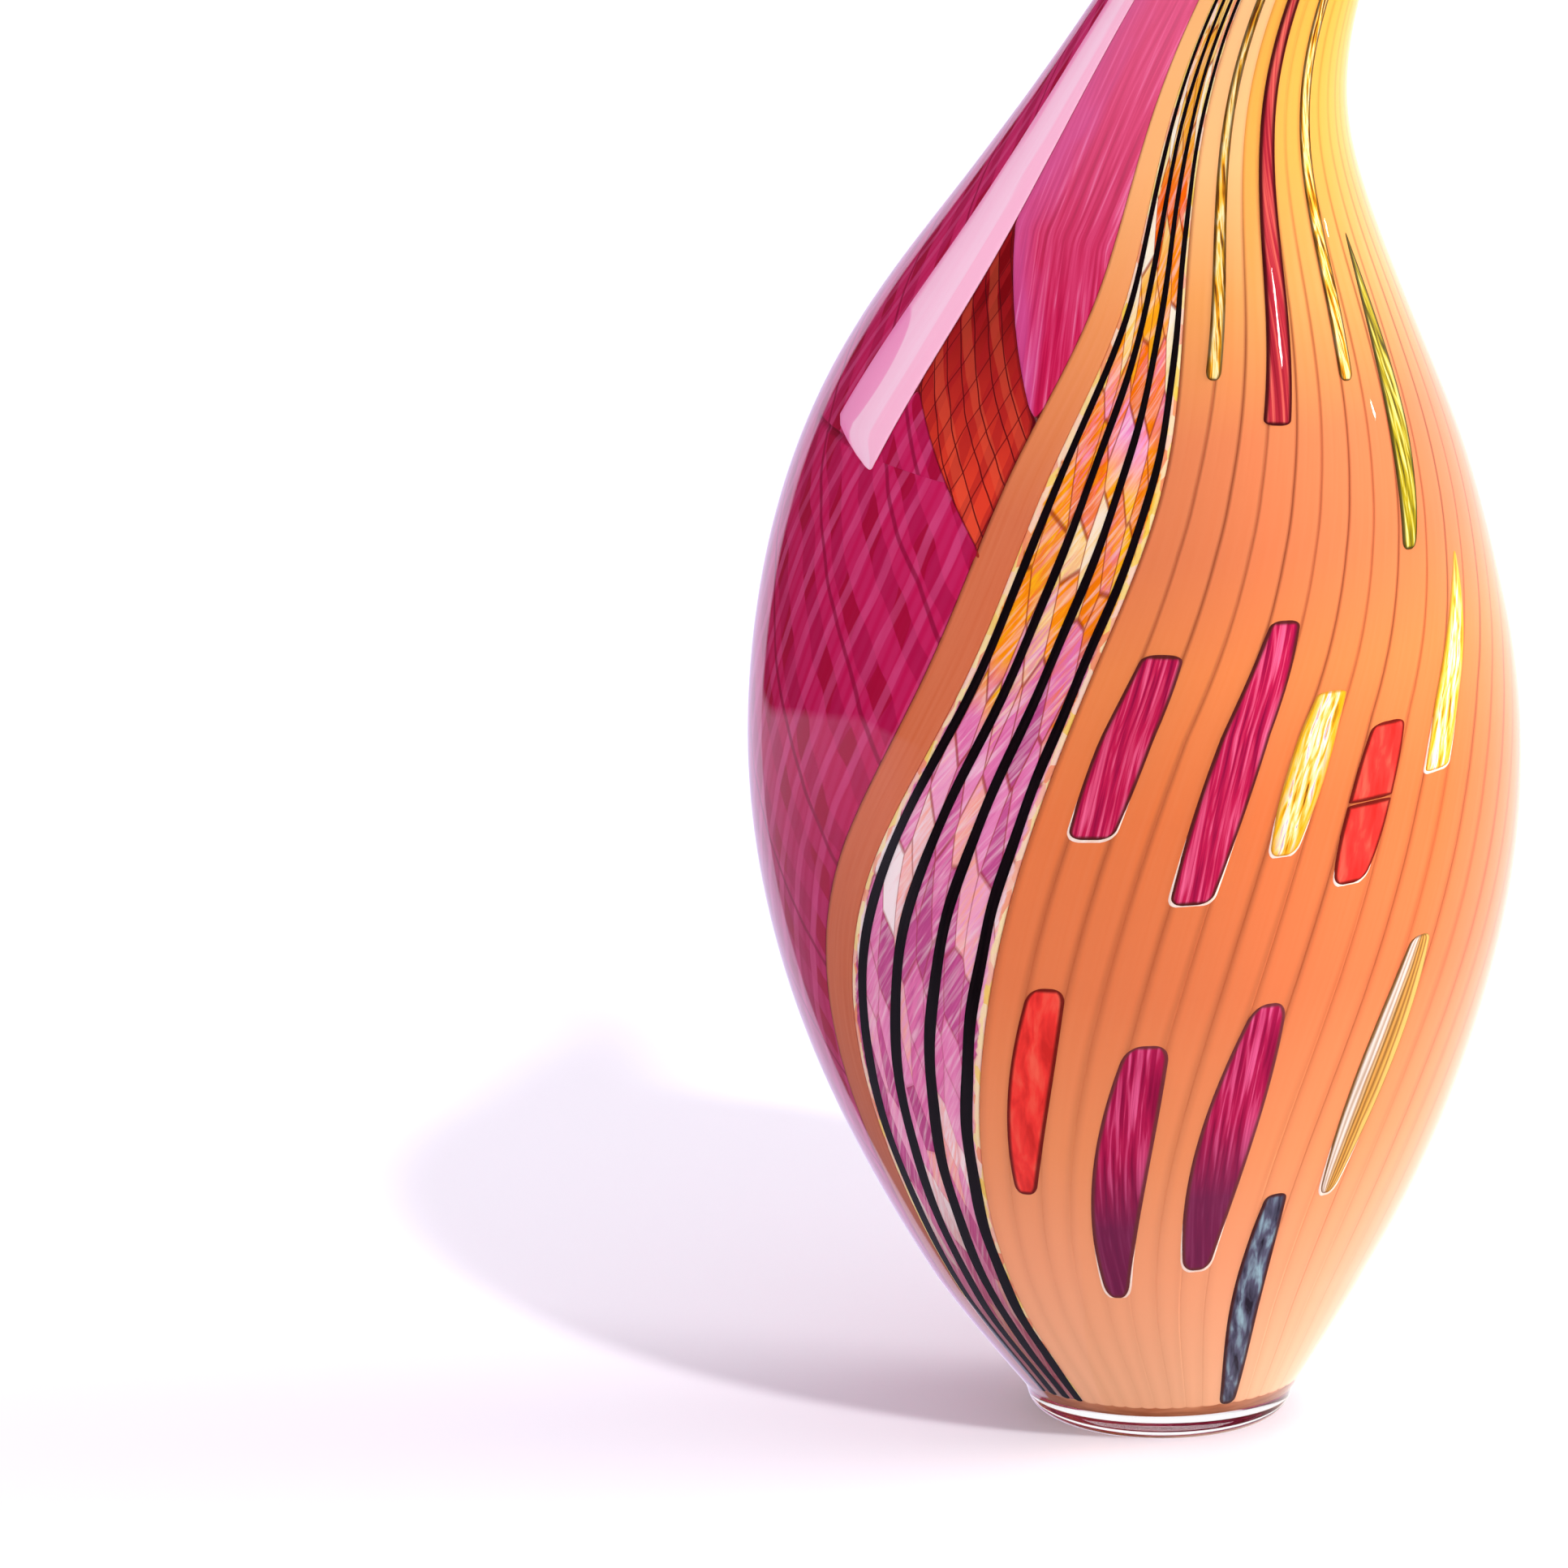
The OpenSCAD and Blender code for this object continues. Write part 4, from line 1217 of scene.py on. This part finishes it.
def surroundings():
    """Soft white for the camera and for diffuse rays. For reflections it is bright behind the vase.

    The dot product of a ray with the way that the camera looks says how far behind the vase it goes.
    The backdrop's edge is sharp at the left and gentle at the right. The table shows low at the left,
    below an edge that is lower for a ray that goes further back."""
    world = bpy.data.worlds.new("studio")
    bpy.context.scene.world = world
    world.use_nodes = True
    tree = world.node_tree
    tree.nodes.clear()
    direction = node(tree, "TexCoord")
    ahead = (0.0, float(np.cos(CAMERA_DOWN)), -float(np.sin(CAMERA_DOWN)))
    behind = node(tree, "VectorMath", {0: direction, 1: ahead}, out=1, operation="DOT_PRODUCT")
    sharp = node(tree, "MapRange", {"Value": behind, "From Min": 0.845, "From Max": 0.865})
    gentle = node(tree, "MapRange", {"Value": behind, "From Min": 0.25, "From Max": 0.95})
    x, y, z = (node(tree, "SeparateXYZ", {0: direction}, out=axis) for axis in range(3))
    right = node(tree, "MapRange", {"Value": x, "From Min": -0.1, "From Max": 0.1})
    backdrop = node(tree, "Mix", {0: right, 2: sharp, 3: gentle})
    table_edge = node(tree, "MapRange", {
        "Value": y, "From Min": 0.0, "From Max": 0.75, "To Min": -0.11, "To Max": -0.205})
    below = node(tree, "Math", {0: table_edge, 1: z}, operation="SUBTRACT")
    on_table = node(tree, "MapRange", {"Value": below, "From Min": 0.0, "From Max": 0.012})
    far = node(tree, "MapRange", {
        "Value": z, "From Min": -0.50, "From Max": -0.18, "To Min": 0.15, "To Max": 0.62})
    back = node(tree, "MapRange", {
        "Value": y, "From Min": -0.42, "From Max": -0.18, "To Min": 0.05, "To Max": 1.0})
    left = node(tree, "Math", {0: x, 1: LEFT_SIDE}, operation="LESS_THAN")
    to_left = node(tree, "Math", {0: back, 1: left}, operation="MULTIPLY")
    glow = node(tree, "Math", {0: far, 1: to_left}, operation="MULTIPLY")
    veil = node(tree, "Math", {0: on_table, 1: glow}, operation="MULTIPLY")
    backdrop = node(tree, "Math", {0: backdrop, 1: veil}, operation="MAXIMUM")
    seen = node(tree, "Math", {0: backdrop, 1: BACKDROP_GAIN, 2: SURROUNDINGS_DIM},
                operation="MULTIPLY_ADD")
    glossy = node(tree, "LightPath", out=RAY_GLOSSY)
    refracted = node(tree, "LightPath", out=RAY_TRANSMITTED)
    mirror = node(tree, "Math", {0: glossy, 1: refracted}, operation="SUBTRACT", use_clamp=True)
    soft = node(tree, "LightPath", out=RAY_DIFFUSE)
    strength = node(tree, "Mix", {0: mirror, 2: SKY_SEEN, 3: seen})
    strength = node(tree, "Mix", {0: soft, 2: strength, 3: SKY_DIFFUSE})
    cool = node(tree, "Mix", {0: right, "A": linear("#d9d2f2"), "B": (1, 1, 1, 1)}, out=2,
                data_type="RGBA")
    colour = node(tree, "Mix", {0: soft, "A": (1, 1, 1, 1), "B": linear("#f6f1fd")}, out=2,
                  data_type="RGBA")
    colour = node(tree, "Mix", {0: mirror, "A": colour, "B": cool}, out=2, data_type="RGBA")
    sky = node(tree, "Background", {"Color": colour, "Strength": strength})
    node(tree, "OutputWorld", {"Surface": sky})
    return world


print("world:", surroundings().name)

# %% [markdown]
# ## Render settings
#
# Standard view keeps the strong colours as they are. Rays pass through several layers of glass and
# through many thin tints in the neck, so the transparent bounces are set high.

# %% Render settings
scene = bpy.context.scene
scene.view_settings.view_transform = "Standard"
scene.cycles.transparent_max_bounces = 24
scene.cycles.max_bounces = 12
scene.cycles.transmission_bounces = 10
scene.cycles.diffuse_bounces = 3
scene.cycles.glossy_bounces = 6
print("bounces:", scene.cycles.max_bounces, "transparent:", scene.cycles.transparent_max_bounces)
